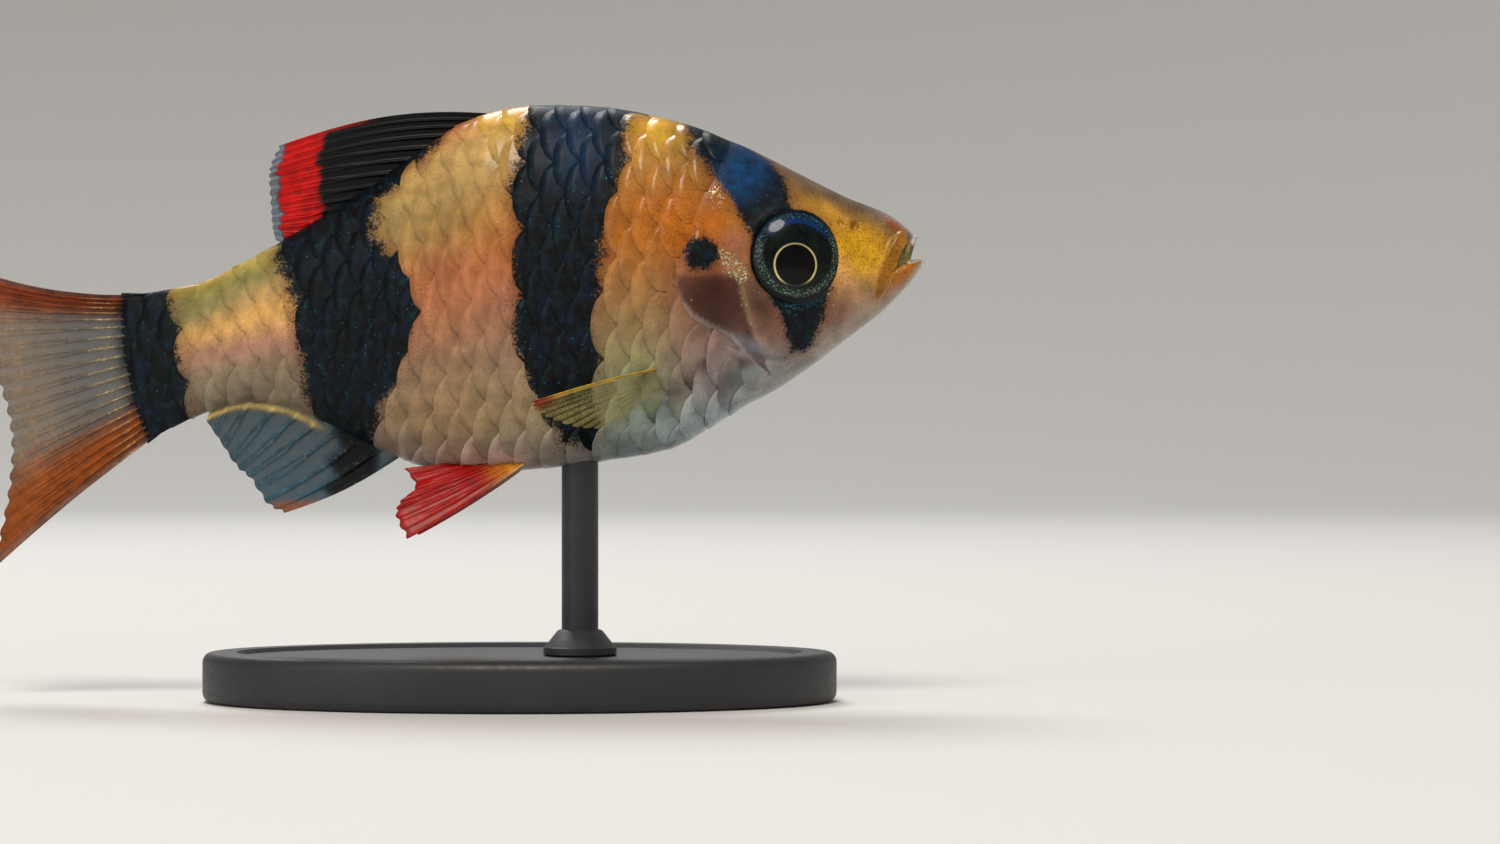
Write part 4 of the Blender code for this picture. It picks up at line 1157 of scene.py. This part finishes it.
@dataclass(frozen=True)
class FinPlan:
    """One fin: its rays run from a curve of roots to a curve of tips, as those of the solids do, in millimetres."""

    node: str
    slot: str
    rays: int
    roots: Line
    tips: Line
    arch: Sequence[float]
    bow: float = 0.0
    ruffle: float = 0.10
    root_ray: float = 0.30
    stiff: int = 1  # leading rays that don't branch
    scallop: float = 0.02


@dataclass(frozen=True)
class FinShape:
    """The grid of a fin's middle surface and what its painting needs, with rows from root to margin."""

    middle: Array
    normal: Array
    across: Array
    reach: Array
    left: Array
    ray: Array


@dataclass(frozen=True)
class FinPaint:
    """Colours one fin. Each kind of fin fills in its own colours."""

    def mix(self, base: Array, share: Array, code: str) -> Array:
        """Lays a colour over another by a share."""
        share = np.clip(share, 0, 1)[..., None]
        return base * (1 - share) + np.array(linear(code)) * share

    def plain(self, shape: FinShape, code: str) -> Array:
        """One colour all over the fin."""
        return np.broadcast_to(np.array(linear(code)), (*shape.reach.shape, 3)).copy()

    def ragged(self, shape: FinShape, size: float) -> Array:
        """A slow wander from ray to ray, for edges of colour that step from one ray to the next."""
        return size * (np.sin(shape.across * 23.0 + 1.0) + 0.6 * np.sin(shape.across * 61.0))

    def colours(self, shape: FinShape) -> tuple[Array, Array, Array]:
        """Colour, solidity and bright flecks at each point."""
        raise NotImplementedError


@dataclass
class Fin:
    """Makes one fin of finer rays and a thin, clear membrane."""

    plan: FinPlan
    flesh: Flesh
    rows: int = 64
    columns_a_ray: int = 12
    membrane: float = 0.05
    tip_ray: float = 0.03

    def shape(self, side: Side) -> FinShape:
        """Works out the middle surface of the fin on one side.

        Args:
            side: The side for a paired fin, or LEFT for one on the midline.

        Returns:
            Its grid, and where each point lies among the rays.
        """
        plan = self.plan
        steps = (plan.rays - 1) * self.columns_a_ray
        across = np.linspace(0, 1, steps + 1)
        root = through(plan.roots, across * (len(plan.roots) - 1))
        tip = through(plan.tips, across * (len(plan.tips) - 1))
        arch = through([(lift,) for lift in plan.arch], across * (len(plan.arch) - 1))[:, 0]
        count = across * (plan.rays - 1)
        off_ray = np.abs(count - np.rint(count))
        length = 1 - plan.scallop * ease(0.05, 0.5, off_ray)
        down = np.linspace(0, 1, self.rows + 1)[:, None]
        middle = root[None] + (tip - root)[None] * (down * length[None])[..., None]
        middle[..., 1] += plan.bow * np.sin(pi * down)
        middle[..., 2] += arch[None] * np.sin(pi * down)
        middle[..., 1] += plan.ruffle * down**1.5 * np.sin(across * 11.0 + down * 2.0)
        if side is Side.RIGHT:
            middle = middle * np.array([1.0, -1.0, 1.0])
        middle = self.flesh.swim(middle)
        normal = np.cross(np.gradient(middle, axis=0), np.gradient(middle, axis=1))
        normal /= np.maximum(np.linalg.norm(normal, axis=2, keepdims=True), 1e-12)
        steps_out = np.linalg.norm(np.diff(middle, axis=0), axis=-1)
        reach = np.concatenate([np.zeros((1, steps + 1)), np.cumsum(steps_out, axis=0)])
        across = np.broadcast_to(across, reach.shape)
        return FinShape(middle, normal, across, reach, reach[-1] - reach, self.ray_heights(count, down))

    def ray_heights(self, count: Array, down: Array) -> Array:
        """How high the rays stand, 0 to 1: each splits in two and then in four on its way to the margin."""
        nearest = np.rint(count)
        off = count - nearest
        branches = (nearest >= self.plan.stiff).astype(float)
        first = 0.16 * ease(0.34, 0.62, down) * branches
        second = 0.075 * ease(0.64, 0.90, down) * branches
        width = 0.15 - 0.095 * ease(0.0, 0.85, down) * branches
        height = np.zeros(np.broadcast_shapes(off.shape, down.shape))
        for one in (-1, 1):
            for other in (-1, 1):
                height = np.maximum(height, bell(off - one * first - other * second, width))
        return height

    def build(self, side: Side, paint: FinPaint, name: str) -> bpy.types.Object:
        """Makes the fin, paints it and gives it its finish.

        Args:
            side: The side for a paired fin, or LEFT.
            paint: What colours it.
            name: The node that it replaces, which it is named after.

        Returns:
            The fin as one closed sheet.
        """
        shape = self.shape(side)
        down = np.linspace(0, 1, self.rows + 1)[:, None]
        tall = self.plan.root_ray + (self.tip_ray - self.plan.root_ray) * down**0.7
        tall = tall * (0.35 + 0.65 * ease(0.0, 0.25, down))
        thin = self.membrane * (1.2 - 0.6 * down)
        half = (thin + tall * shape.ray) * ease(1.0, 0.97, down)
        offset = shape.normal * half[..., None]
        colour, solid, glint = paint.colours(shape)
        points = np.concatenate([shape.middle + offset, (shape.middle - offset)[:, ::-1]], axis=1)
        points[0] = np.concatenate([shape.middle[0], shape.middle[0, ::-1]])
        fields = {"wash": colour, "solid": solid, "ray": shape.ray, "reach": shape.reach, "glint": glint}
        fields = {key: np.concatenate([field, field[:, ::-1]], axis=1) for key, field in fields.items()}
        piece = tube_piece(f"{name}_web", points, fields)
        piece.data.materials.append(FinMembrane(f"{name}_skin").build())
        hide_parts(name)
        return piece


@dataclass(frozen=True)
class BackPaint(FinPaint):
    """Back fin: black, then a bright red band, then a clear blue margin."""

    margin: float = 0.55
    band: float = 3.0

    def colours(self, shape: FinShape) -> tuple[Array, Array, Array]:
        """Colour, solidity and bright flecks at each point."""
        left = shape.left + self.ragged(shape, 0.12)
        red = ease(self.band + 0.2, self.band - 0.2, left) * ease(self.margin - 0.1, self.margin + 0.15, left)
        clear = ease(self.margin + 0.1, self.margin - 0.15, left)
        colour = self.plain(shape, "#040506")
        colour = self.mix(colour, red, "#cc0602")
        colour = self.mix(colour, red * (1 - shape.ray) * 0.4, "#7a0302")
        edge_line = ease(0.05, 0.0, shape.across) * ease(6.5, 4.5, left) * ease(2.5, 3.2, left)
        colour = self.mix(colour, edge_line, "#b0241c")
        front = ease(0.03, 0.0, shape.across) * ease(6.5, 7.5, left)
        colour = self.mix(colour, front, "#2a3038")
        colour = self.mix(colour, clear, "#42566a")
        return colour, 1.12 - 0.70 * clear, np.zeros_like(clear)


@dataclass(frozen=True)
class VentPaint(FinPaint):
    """Anal fin: blue-grey and clear, black where the third bar runs on to it, rusty at its tip."""

    def colours(self, shape: FinShape) -> tuple[Array, Array, Array]:
        """Colour, solidity and bright flecks at each point."""
        x, z = shape.middle[..., 0], shape.middle[..., 2]
        colour = self.plain(shape, "#304b56")
        colour = self.mix(colour, ease(14.5, 11.8, z) * 0.5, "#29566c")
        black = ease(-11.9, -10.6, x - 0.18 * (z - 14) + 0.3 * np.sin(shape.reach * 3)) * ease(-8.2, -8.9, x)
        colour = self.mix(colour, black, "#060a0e")
        colour = self.mix(colour, ease(12.3, 11.7, z) * ease(-15.2, -14.4, x), "#8c4a1c")
        base_line = bell(shape.reach - 1.0, 0.25) * ease(0.35, 0.5, shape.across)
        colour = self.mix(colour, base_line, "#e0c27a")
        solid = 0.70 + 0.34 * np.clip(black, 0, 1) + 0.3 * base_line
        return colour, solid, 0.1 * np.ones_like(solid)


@dataclass(frozen=True)
class TailPaint(FinPaint):
    """Tail fin: rusty orange lobes, a clear grey middle and bright ray bases."""

    def colours(self, shape: FinShape) -> tuple[Array, Array, Array]:
        """Colour, solidity and bright flecks at each point."""
        upper = ease(0.32, 0.10, shape.across + self.ragged(shape, 0.012))
        lower = ease(0.62, 0.86, shape.across + self.ragged(shape, 0.012))
        colour = self.plain(shape, "#57554d")
        colour = self.mix(colour, ease(4.0, 9.0, shape.reach) * 0.75, "#8a7257")
        colour = self.mix(colour, upper, "#7c3206")
        colour = self.mix(colour, lower, "#8c4408")
        outer = np.maximum(ease(0.05, 0.01, shape.across), ease(0.95, 0.99, shape.across))
        colour = self.mix(colour, outer * 0.6, "#6d5f56")
        dusk = ease(0.9, 0.1, shape.left)
        colour = self.mix(colour, dusk * 0.35, "#3c3428")
        bases = bell(shape.reach - 3.3, 0.9)
        colour = self.mix(colour, bases * 0.35 * shape.ray, "#d9b67a")
        colour = self.mix(colour, ease(2.6, 1.5, shape.reach + self.ragged(shape, 0.2)), "#0a1518")
        solid = 0.60 + 0.40 * np.maximum(upper, lower) - 0.10 * dusk + 0.5 * ease(3.0, 1.5, shape.reach)
        return colour, solid, bases


@dataclass(frozen=True)
class BellyPaint(FinPaint):
    """Pelvic fins: bright red, yellow-orange where they leave the belly."""

    def colours(self, shape: FinShape) -> tuple[Array, Array, Array]:
        """Colour, solidity and bright flecks at each point."""
        colour = self.plain(shape, "#9a0401")
        root = ease(3.4, 0.8, shape.reach + 2.0 * shape.across)
        colour = self.mix(colour, root, "#c8801c")
        colour = self.mix(colour, ease(0.05, 0.0, shape.across) * ease(4.0, 1.0, shape.reach) * 0.6, "#b09a80")
        colour = self.mix(colour, ease(0.35, 0.0, shape.left) * 0.5, "#8c1a14")
        solid = 1.08 - 0.28 * ease(0.5, 0.0, shape.left)
        return colour, solid, np.zeros_like(solid)


@dataclass(frozen=True)
class ChestPaint(FinPaint):
    """Pectoral fins: clear and yellowish, with a yellow leading ray and a rusty tip."""

    def colours(self, shape: FinShape) -> tuple[Array, Array, Array]:
        """Colour, solidity and bright flecks at each point."""
        colour = self.plain(shape, "#a89c5c")
        lead = ease(0.13, 0.02, shape.across)
        colour = self.mix(colour, lead, "#d8b43c")
        tip = ease(2.2, 0.6, shape.left) * ease(0.35, 0.1, shape.across)
        colour = self.mix(colour, tip, "#8c3a1c")
        return colour, 0.10 + 0.62 * lead + 0.3 * tip, np.zeros_like(lead)


FINS: tuple[tuple[FinPlan, FinPaint], ...] = (
    (
        FinPlan(
            "dorsal_fin", "dark_fin", 13,
            roots=((-0.7, 0, 35.20), (-3.0, 0, 34.3), (-5.4, 0, 32.7), (-7.8, 0, 30.9), (-10.2, 0, 29.3),
                   (-13.7, 0, 27.2)),
            tips=((-14.5, 0, 33.35), (-15.0, 0, 32.2), (-15.1, 0, 31.2), (-15.0, 0, 29.8), (-14.9, 0, 28.6),
                  (-14.7, 0, 27.7)),
            arch=(0.87, 0.35, 0.0, 0.0), stiff=4, scallop=0.012,
        ),
        BackPaint(),
    ),
    (
        FinPlan(
            "anal_fin", "clear_fin", 10,
            roots=((-6.7, 0, 15.0), (-9.0, 0, 15.9), (-11.1, 0, 17.0), (-13.2, 0, 18.1), (-16.2, 0, 18.6),
                   (-18.5, 0, 18.0)),
            tips=((-14.16, 0, 11.3), (-15.2, 0, 11.85), (-16.2, 0, 13.3), (-17.1, 0, 14.1), (-18.0, 0, 15.5),
                  (-18.9, 0, 16.8)),
            arch=(-0.4, -0.1, 0.0), stiff=3,
        ),
        VentPaint(),
    ),
    (
        FinPlan(
            "caudal_fin", "tail_fin", 21,
            roots=((-22.2, 0, 24.42), (-22.1, 0, 23.0), (-21.9, 0, 20.6), (-21.4, 0, 18.4), (-20.8, 0, 16.85)),
            tips=((-35.7, 0, 26.8), (-34.6, 0, 24.0), (-32.4, 0, 20.2), (-31.2, 0, 16.4), (-31.3, 0, 12.4),
                  (-32.4, 0, 7.7)),
            arch=(-0.75, 0.0, 0.0, 0.25), ruffle=0.16, root_ray=0.34, stiff=2, scallop=0.02,
        ),
        TailPaint(),
    ),
    (
        FinPlan(
            "pelvic_fin", "red_fin", 9,
            roots=((0.45, 1.7, 14.3), (-0.6, 1.1, 14.4), (-1.8, 0.5, 14.5)),
            tips=((-6.45, 4.2, 9.86), (-7.15, 3.7, 11.2), (-6.9, 3.2, 12.1), (-6.1, 2.6, 12.9), (-6.8, 1.7, 14.0)),
            arch=(-0.2, 0.0, 0.0), bow=0.2, root_ray=0.22,
        ),
        BellyPaint(),
    ),
    (
        FinPlan(
            "pectoral_fin", "clear_fin", 13,
            roots=((9.5, 3.3, 20.2), (9.4, 3.2, 19.7), (9.1, 3.0, 19.3)),
            tips=((1.0, 5.9, 17.95), (1.2, 5.8, 17.4), (2.2, 5.6, 16.9), (3.6, 5.3, 16.45), (5.1, 4.9, 16.4),
                  (6.3, 4.5, 16.9)),
            arch=(0.15, 0.0), bow=0.35, root_ray=0.16, ruffle=0.06,
        ),
        ChestPaint(),
    ),
)
PAIRED_FINS = ("pelvic_fin", "pectoral_fin")


@dataclass(frozen=True)
class EyeGloss:
    """A fish's eye under its clear cornea: black pupil, thin gold ring, dark iris with blue and green glints and a
    painted blue highlight.
    """

    pupil: float = 1.20
    ring: float = 1.31
    iris: float = 2.20
    whole: float = 2.64

    def build(self) -> bpy.types.Material:
        """Makes the material, which reads the distance from the pupil's middle stored on the mesh."""
        made, tree, shader = fresh_material("fish_eye_cornea")
        put = partial(add_node, tree)
        place = put("TexCoord", out="Object")
        away = put("Attribute", out="Fac", attribute_name="away")
        spread = put("Attribute", out="Fac", attribute_name="spread")
        high = put("Attribute", out="Fac", attribute_name="high")
        grain = put("TexNoise", {"Vector": place, "Scale": 1 / (0.11 * MM), "Detail": 3.0, "Roughness": 0.65})
        patch = put("TexNoise", {"Vector": place, "Scale": 1 / (0.6 * MM), "Detail": 2.0, "Roughness": 0.6})
        glow = put("MapRange", {0: grain, 1: 0.48, 2: 0.75}, **SMOOTH)
        iris = put("MapRange", {0: patch, 1: 0.35, 2: 0.7, 3: 0.0, 4: 0.8}, **SMOOTH)
        iris = put("Mix", {0: iris, 6: "#030504", 7: "#081613"}, 2, **COLOUR)
        dust = put("Math", {0: glow, 1: 0.2}, operation="MULTIPLY")
        iris = put("Mix", {0: dust, 6: iris, 7: "#1c5040"}, 2, **COLOUR)

        rim_zone = put("MapRange", {0: spread, 1: self.iris - 0.2, 2: self.iris + 0.08}, **SMOOTH)
        upper = put("MapRange", {0: high, 1: 0.2, 2: 1.8}, **SMOOTH)
        rim = put("Mix", {0: glow, 6: "#0c1c1c", 7: "#8fa88c"}, 2, **COLOUR)
        rim_blue = put("Mix", {0: glow, 6: "#0a1c2c", 7: "#3c7a9c"}, 2, **COLOUR)
        rim = put("Mix", {0: upper, 6: rim, 7: rim_blue}, 2, **COLOUR)
        base = put("Mix", {0: rim_zone, 6: iris, 7: rim}, 2, **COLOUR)
        # Painted highlight: a smooth blue arc across the top of the iris, where the eye catches light from above.
        arc = put("MapRange", {0: high, 1: 0.9, 2: 1.6, 3: 0.0, 4: 0.8}, **SMOOTH)
        arc_in = put("MapRange", {0: spread, 1: 1.78, 2: 1.98}, **SMOOTH)
        arc_out = put("MapRange", {0: spread, 1: 2.20, 2: 2.06}, **SMOOTH)
        arc = put("Math", {0: arc, 1: arc_in}, operation="MULTIPLY")
        arc = put("Math", {0: arc, 1: arc_out}, operation="MULTIPLY")
        base = put("Mix", {0: arc, 6: base, 7: "#0c2f6a"}, 2, **COLOUR)
        outer = put("MapRange", {0: spread, 1: self.whole - 0.18, 2: self.whole - 0.04}, **SMOOTH)
        base = put("Mix", {0: outer, 6: base, 7: "#0a1216"}, 2, **COLOUR)

        gold_in = put("MapRange", {0: away, 1: self.pupil - 0.02, 2: self.pupil + 0.03}, **SMOOTH)
        gold_out = put("MapRange", {0: away, 1: self.ring + 0.02, 2: self.ring - 0.04}, **SMOOTH)
        gold = put("Math", {0: gold_in, 1: gold_out}, operation="MULTIPLY")
        worn = put("MapRange", {0: grain, 1: 0.25, 2: 0.5, 3: 0.55, 4: 1.0}, **SMOOTH)
        gold = put("Math", {0: gold, 1: worn}, operation="MULTIPLY")
        # The ring is bright at its sides, dim at the top and all but gone at the bottom.
        upper_dim = put("MapRange", {0: high, 1: 0.62, 2: 0.0, 3: 0.45, 4: 1.0}, **SMOOTH)
        lower_dim = put("MapRange", {0: high, 1: -1.90, 2: -1.35, 3: 0.03, 4: 1.0}, **SMOOTH)
        gold = put("Math", {0: gold, 1: upper_dim}, operation="MULTIPLY")
        gold = put("Math", {0: gold, 1: lower_dim}, operation="MULTIPLY")
        pupil = put("MapRange", {0: away, 1: self.pupil + 0.01, 2: self.pupil - 0.03}, **SMOOTH)
        base = put("Mix", {0: pupil, 6: base, 7: "#010101"}, 2, **COLOUR)
        base = put("Mix", {0: gold, 6: base, 7: "#e6d79a"}, 2, **COLOUR)
        metal = put("Math", {0: gold, 1: 0.6}, operation="MULTIPLY")
        feed(tree, shader, {
            "Base Color": base,
            "Metallic": metal,
            "Roughness": 0.25,
            "IOR": 1.34,
            "Specular IOR Level": 0.1,
            "Coat Weight": 0.45,
            "Coat Roughness": 0.03,
            "Coat IOR": 1.36,
        })
        return made


@dataclass
class Eye:
    """One eyeball, a smooth dome with the lens standing out a little under the cornea."""

    flesh: Flesh
    radii: tuple[float, float, float] = (3.05, 1.35, 3.13)
    sink: float = 0.86
    turn: float = radians(12)  # towards the snout, as the cheek narrows
    tilt: float = radians(8)  # up, as the brow slopes in
    pupil_offset: tuple[float, float] = (-0.22, -0.66)
    lens: float = 0.12
    segments: int = 96
    rings: int = 72

    def build(self, side: Side, gloss: bpy.types.Material) -> bpy.types.Object:
        """Makes the eye of one side.

        Args:
            side: The side.
            gloss: The finish that both eyes share.

        Returns:
            The eyeball in its place.
        """
        deselect()
        bpy.ops.mesh.primitive_uv_sphere_add(segments=self.segments, ring_count=self.rings, radius=1.0)
        piece = bpy.context.object
        piece.name = f"eyeball_{side.word}"
        flat = np.empty(len(piece.data.vertices) * 3)
        piece.data.vertices.foreach_get("co", flat)
        ball = flat.reshape(-1, 3)[:, [0, 2, 1]]
        x, out, z = (ball * np.array(self.radii)).T
        away = np.hypot(x - self.pupil_offset[0], z - self.pupil_offset[1])
        front = ball[:, 1] > 0
        out = out + np.where(front, self.lens * bell(away, 1.0), 0.0)
        local = np.stack([x, out * side.value, z], axis=1)
        place_x, place_z = EYE
        place_y = side.value * (self.flesh.half_width(place_x, place_z) - self.sink)
        aim = Matrix.Rotation(-side.value * self.turn, 3, "Z") @ Matrix.Rotation(side.value * self.tilt, 3, "X")
        points = local @ np.array(aim).T + np.array((place_x, place_y, place_z))
        piece.data.vertices.foreach_set("co", (points * MM).ravel())
        give(piece, "away", np.where(front, away, 9.0))
        give(piece, "spread", np.where(front, np.hypot(x, z), 9.0))
        give(piece, "high", z)
        weld(piece)
        piece.data.shade_smooth()
        piece.data.uv_layers[0].name = "OFBake"
        piece.data.materials.append(gloss)
        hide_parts(f"eye_{side.word}")
        return piece


@dataclass(frozen=True)
class MouldedPlastic:
    """Matt black ABS from a spark-eroded mould: a fine even grain that kills reflections."""

    grain: float = 0.25  # drawn coarser than the real 0.05 mm, so that it shows

    def build(self) -> bpy.types.Material:
        """Makes the material."""
        made, tree, shader = fresh_material("black_moulded_abs")
        put = partial(add_node, tree)
        place = put("TexCoord", out="Object")
        grain = put("TexNoise", {"Vector": place, "Scale": 1 / (self.grain * MM), "Detail": 3.0, "Roughness": 0.6})
        cloud = put("TexNoise", {"Vector": place, "Scale": 1 / (6.0 * MM), "Detail": 3.0, "Roughness": 0.6})
        shade = put("MapRange", {0: cloud, 1: 0.3, 2: 0.7}, **SMOOTH)
        feed(tree, shader, {
            "Base Color": put("Mix", {0: shade, 6: "#1b1c1e", 7: "#232427"}, 2, **COLOUR),
            "Roughness": put("MapRange", {0: grain, 1: 0.3, 2: 0.7, 3: 0.42, 4: 0.58}),
            "Normal": put("Bump", {"Strength": 0.5, "Distance": 0.02 * MM, "Height": grain}),
            "IOR": 1.53,
        })
        return made


@dataclass
class Stand:
    """The plain display stand: an oval foot, a collar and one rod up to the belly."""

    finish: bpy.types.Material
    size: tuple[float, float, float] = (38.0, 23.0, 3.0)
    edge: float = 0.6
    border: float = 2.0
    step: float = 0.25
    rod_x: float = 3.6
    rod_radius: float = 1.1
    collar_radius: float = 2.2
    collar_rim: float = 0.5
    collar_height: float = 1.6
    rod_top: float = 14.4

    def base(self) -> bpy.types.Object:
        """The oval foot, with rounded edges and a shallow step round its top."""
        deselect()
        bpy.ops.mesh.primitive_cylinder_add(vertices=160, radius=0.5, depth=1.0)
        piece = bpy.context.object
        piece.name = "stand_foot"
        piece.scale = [value * MM for value in self.size]
        piece.location = (0, 0, self.size[2] * MM / 2)
        bpy.ops.object.transform_apply(location=True, rotation=True, scale=True)
        bpy.ops.object.mode_set(mode="EDIT")
        bpy.ops.mesh.select_mode(type="FACE")
        bpy.ops.mesh.select_all(action="DESELECT")
        bpy.ops.object.mode_set(mode="OBJECT")
        for face in piece.data.polygons:
            face.select = face.normal.z > 0.9
        bpy.ops.object.mode_set(mode="EDIT")
        bpy.ops.mesh.inset(thickness=self.border * MM, depth=0.0)
        bpy.ops.mesh.inset(thickness=self.step * MM, depth=-self.step * MM)
        bpy.ops.object.mode_set(mode="OBJECT")
        rounded = piece.modifiers.new("edges", "BEVEL")
        rounded.width = self.edge * MM
        rounded.segments = 5
        rounded.limit_method = "ANGLE"
        rounded.angle_limit = radians(60)
        bpy.ops.object.modifier_apply(modifier=rounded.name)
        piece.data.shade_smooth()
        bpy.ops.object.shade_smooth_by_angle(angle=radians(35))
        piece.data.materials.append(self.finish)
        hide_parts("stand_base")
        return piece

    def rod(self) -> bpy.types.Object:
        """The rod and its collar, turned in one piece."""
        foot = self.size[2] - self.step
        rim, radius = self.collar_rim, self.collar_radius
        profile = (
            (0.0, foot), (radius - 0.12, foot), (radius, foot + 0.12), (radius, foot + rim),
            (radius - 0.15, foot + rim + 0.12), (self.rod_radius + 0.25, foot + self.collar_height - 0.1),
            (self.rod_radius, foot + self.collar_height), (self.rod_radius, self.rod_top), (0.0, self.rod_top),
        )
        turns = np.linspace(0, 2 * pi, 72, endpoint=False)
        rings = [np.stack([self.rod_x + r * np.cos(turns), r * np.sin(turns), np.full(72, z)], -1) for r, z in profile]
        piece = tube_piece("stand_pillar", np.stack(rings), {})
        bpy.ops.object.shade_smooth_by_angle(angle=radians(30))
        piece.data.materials.append(self.finish)
        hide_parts("stand_rod")
        return piece


@dataclass
class Studio:
    """The plain round sweep, the soft lights and the camera that takes in the photo's frame."""

    centre: tuple[float, float] = (13.8, 16.76)
    width: float = 90.0
    distance: float = 250.0
    sensor: float = 36.0
    floor: float = 0.55  # metres, as are the sweep's other sizes
    curve: float = 0.30
    wall: float = 0.35

    def sweep(self) -> None:
        """A pale bowl of paper: a level floor that curves up all round, so that no view shows an edge."""
        deselect()
        bpy.ops.mesh.primitive_grid_add(x_subdivisions=96, y_subdivisions=48, size=2.0)
        piece = bpy.context.object
        piece.name = "paper_sweep"
        arc = self.curve * pi / 2
        for vertex in piece.data.vertices:
            turn = (vertex.co.x + 1) * pi
            along = (vertex.co.y + 1) / 2 * (self.floor + arc + self.wall)
            bent = min(max(along - self.floor, 0) / self.curve, pi / 2)
            radius = min(along, self.floor) + self.curve * np.sin(bent)
            height = self.curve * (1 - np.cos(bent)) + max(along - self.floor - arc, 0)
            vertex.co = (radius * np.cos(turn), radius * np.sin(turn), height)
        weld(piece, 1e-5)
        piece.data.shade_smooth()
        made, tree, shader = fresh_material("pale_studio_paper")
        feed(tree, shader, {"Base Color": "#cfcecb", "Roughness": 0.9})
        piece.data.materials.append(made)

    def lamp(self, name: str, place: tuple[float, float, float], size: float, power: float, tint: str) -> None:
        """An area lamp aimed at the fish, placed in metres."""
        deselect()
        bpy.ops.object.light_add(type="AREA", location=place)
        made = bpy.context.object
        made.name = name
        made.data.shape = "DISK"
        made.data.size = size
        made.data.energy = power
        made.data.color = linear(tint)
        aim = Vector((0.0, 0.0, 0.024)) - Vector(place)
        made.rotation_euler = aim.to_track_quat("-Z", "Y").to_euler()

    def camera(self) -> None:
        """The camera, level and square to the fish, with the photo's crop."""
        deselect()
        place = (self.centre[0] * MM, -self.distance * MM, self.centre[1] * MM)
        bpy.ops.object.camera_add(location=place, rotation=(pi / 2, 0, 0))
        made = bpy.context.object
        made.name = "camera"
        made.data.sensor_width = self.sensor
        made.data.lens = self.sensor * self.distance / self.width
        made.data.clip_start = 0.01
        made.data.clip_end = 20.0
        bpy.context.scene.camera = made

    def build(self) -> None:
        """Sets up everything round the object."""
        self.sweep()
        self.lamp("key", (-0.04, -0.38, 0.56), 0.24, 2.9, "#fff4e6")
        self.lamp("fill", (-0.42, -0.38, 0.22), 0.45, 0.7, "#eef3ff")
        self.lamp("rim", (-0.10, 0.35, 0.50), 0.30, 2.4, "#ffffff")
        world = bpy.data.worlds.new("studio_air")
        world.use_nodes = True
        air = world.node_tree.nodes["Background"]
        feed(world.node_tree, air, {"Color": "#e3e6ea", "Strength": 0.36})
        bpy.context.scene.world = world
        bpy.context.scene.view_settings.view_transform = "Standard"
        self.camera()


def report(piece: bpy.types.Object) -> None:
    """Rides a finished piece on the part's one body and logs its size."""
    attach(piece, "root")
    piece.data.calc_loop_triangles()
    LOG.info("%s: %d triangles", piece.name, len(piece.data.loop_triangles))


def main() -> None:
    """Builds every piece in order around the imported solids."""
    logging.basicConfig(level=logging.INFO, format="%(message)s")
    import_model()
    flesh = Flesh()
    markings = Markings()
    report(Skin(flesh, markings, Relief()).build())
    scales = Scales(flesh, markings)
    for side in Side:
        report(scales.build(side))
    gloss = EyeGloss().build()
    for side in Side:
        report(Eye(flesh).build(side, gloss))
    for plan, paint in FINS:
        fin = Fin(plan, flesh)
        if plan.node in PAIRED_FINS:
            for side in Side:
                report(fin.build(side, paint, f"{plan.node}_{side.word}"))
        else:
            report(fin.build(Side.LEFT, paint, plan.node))
    stand = Stand(MouldedPlastic().build())
    report(stand.base())
    report(stand.rod())
    Studio().build()


if __name__ == "__main__":
    main()
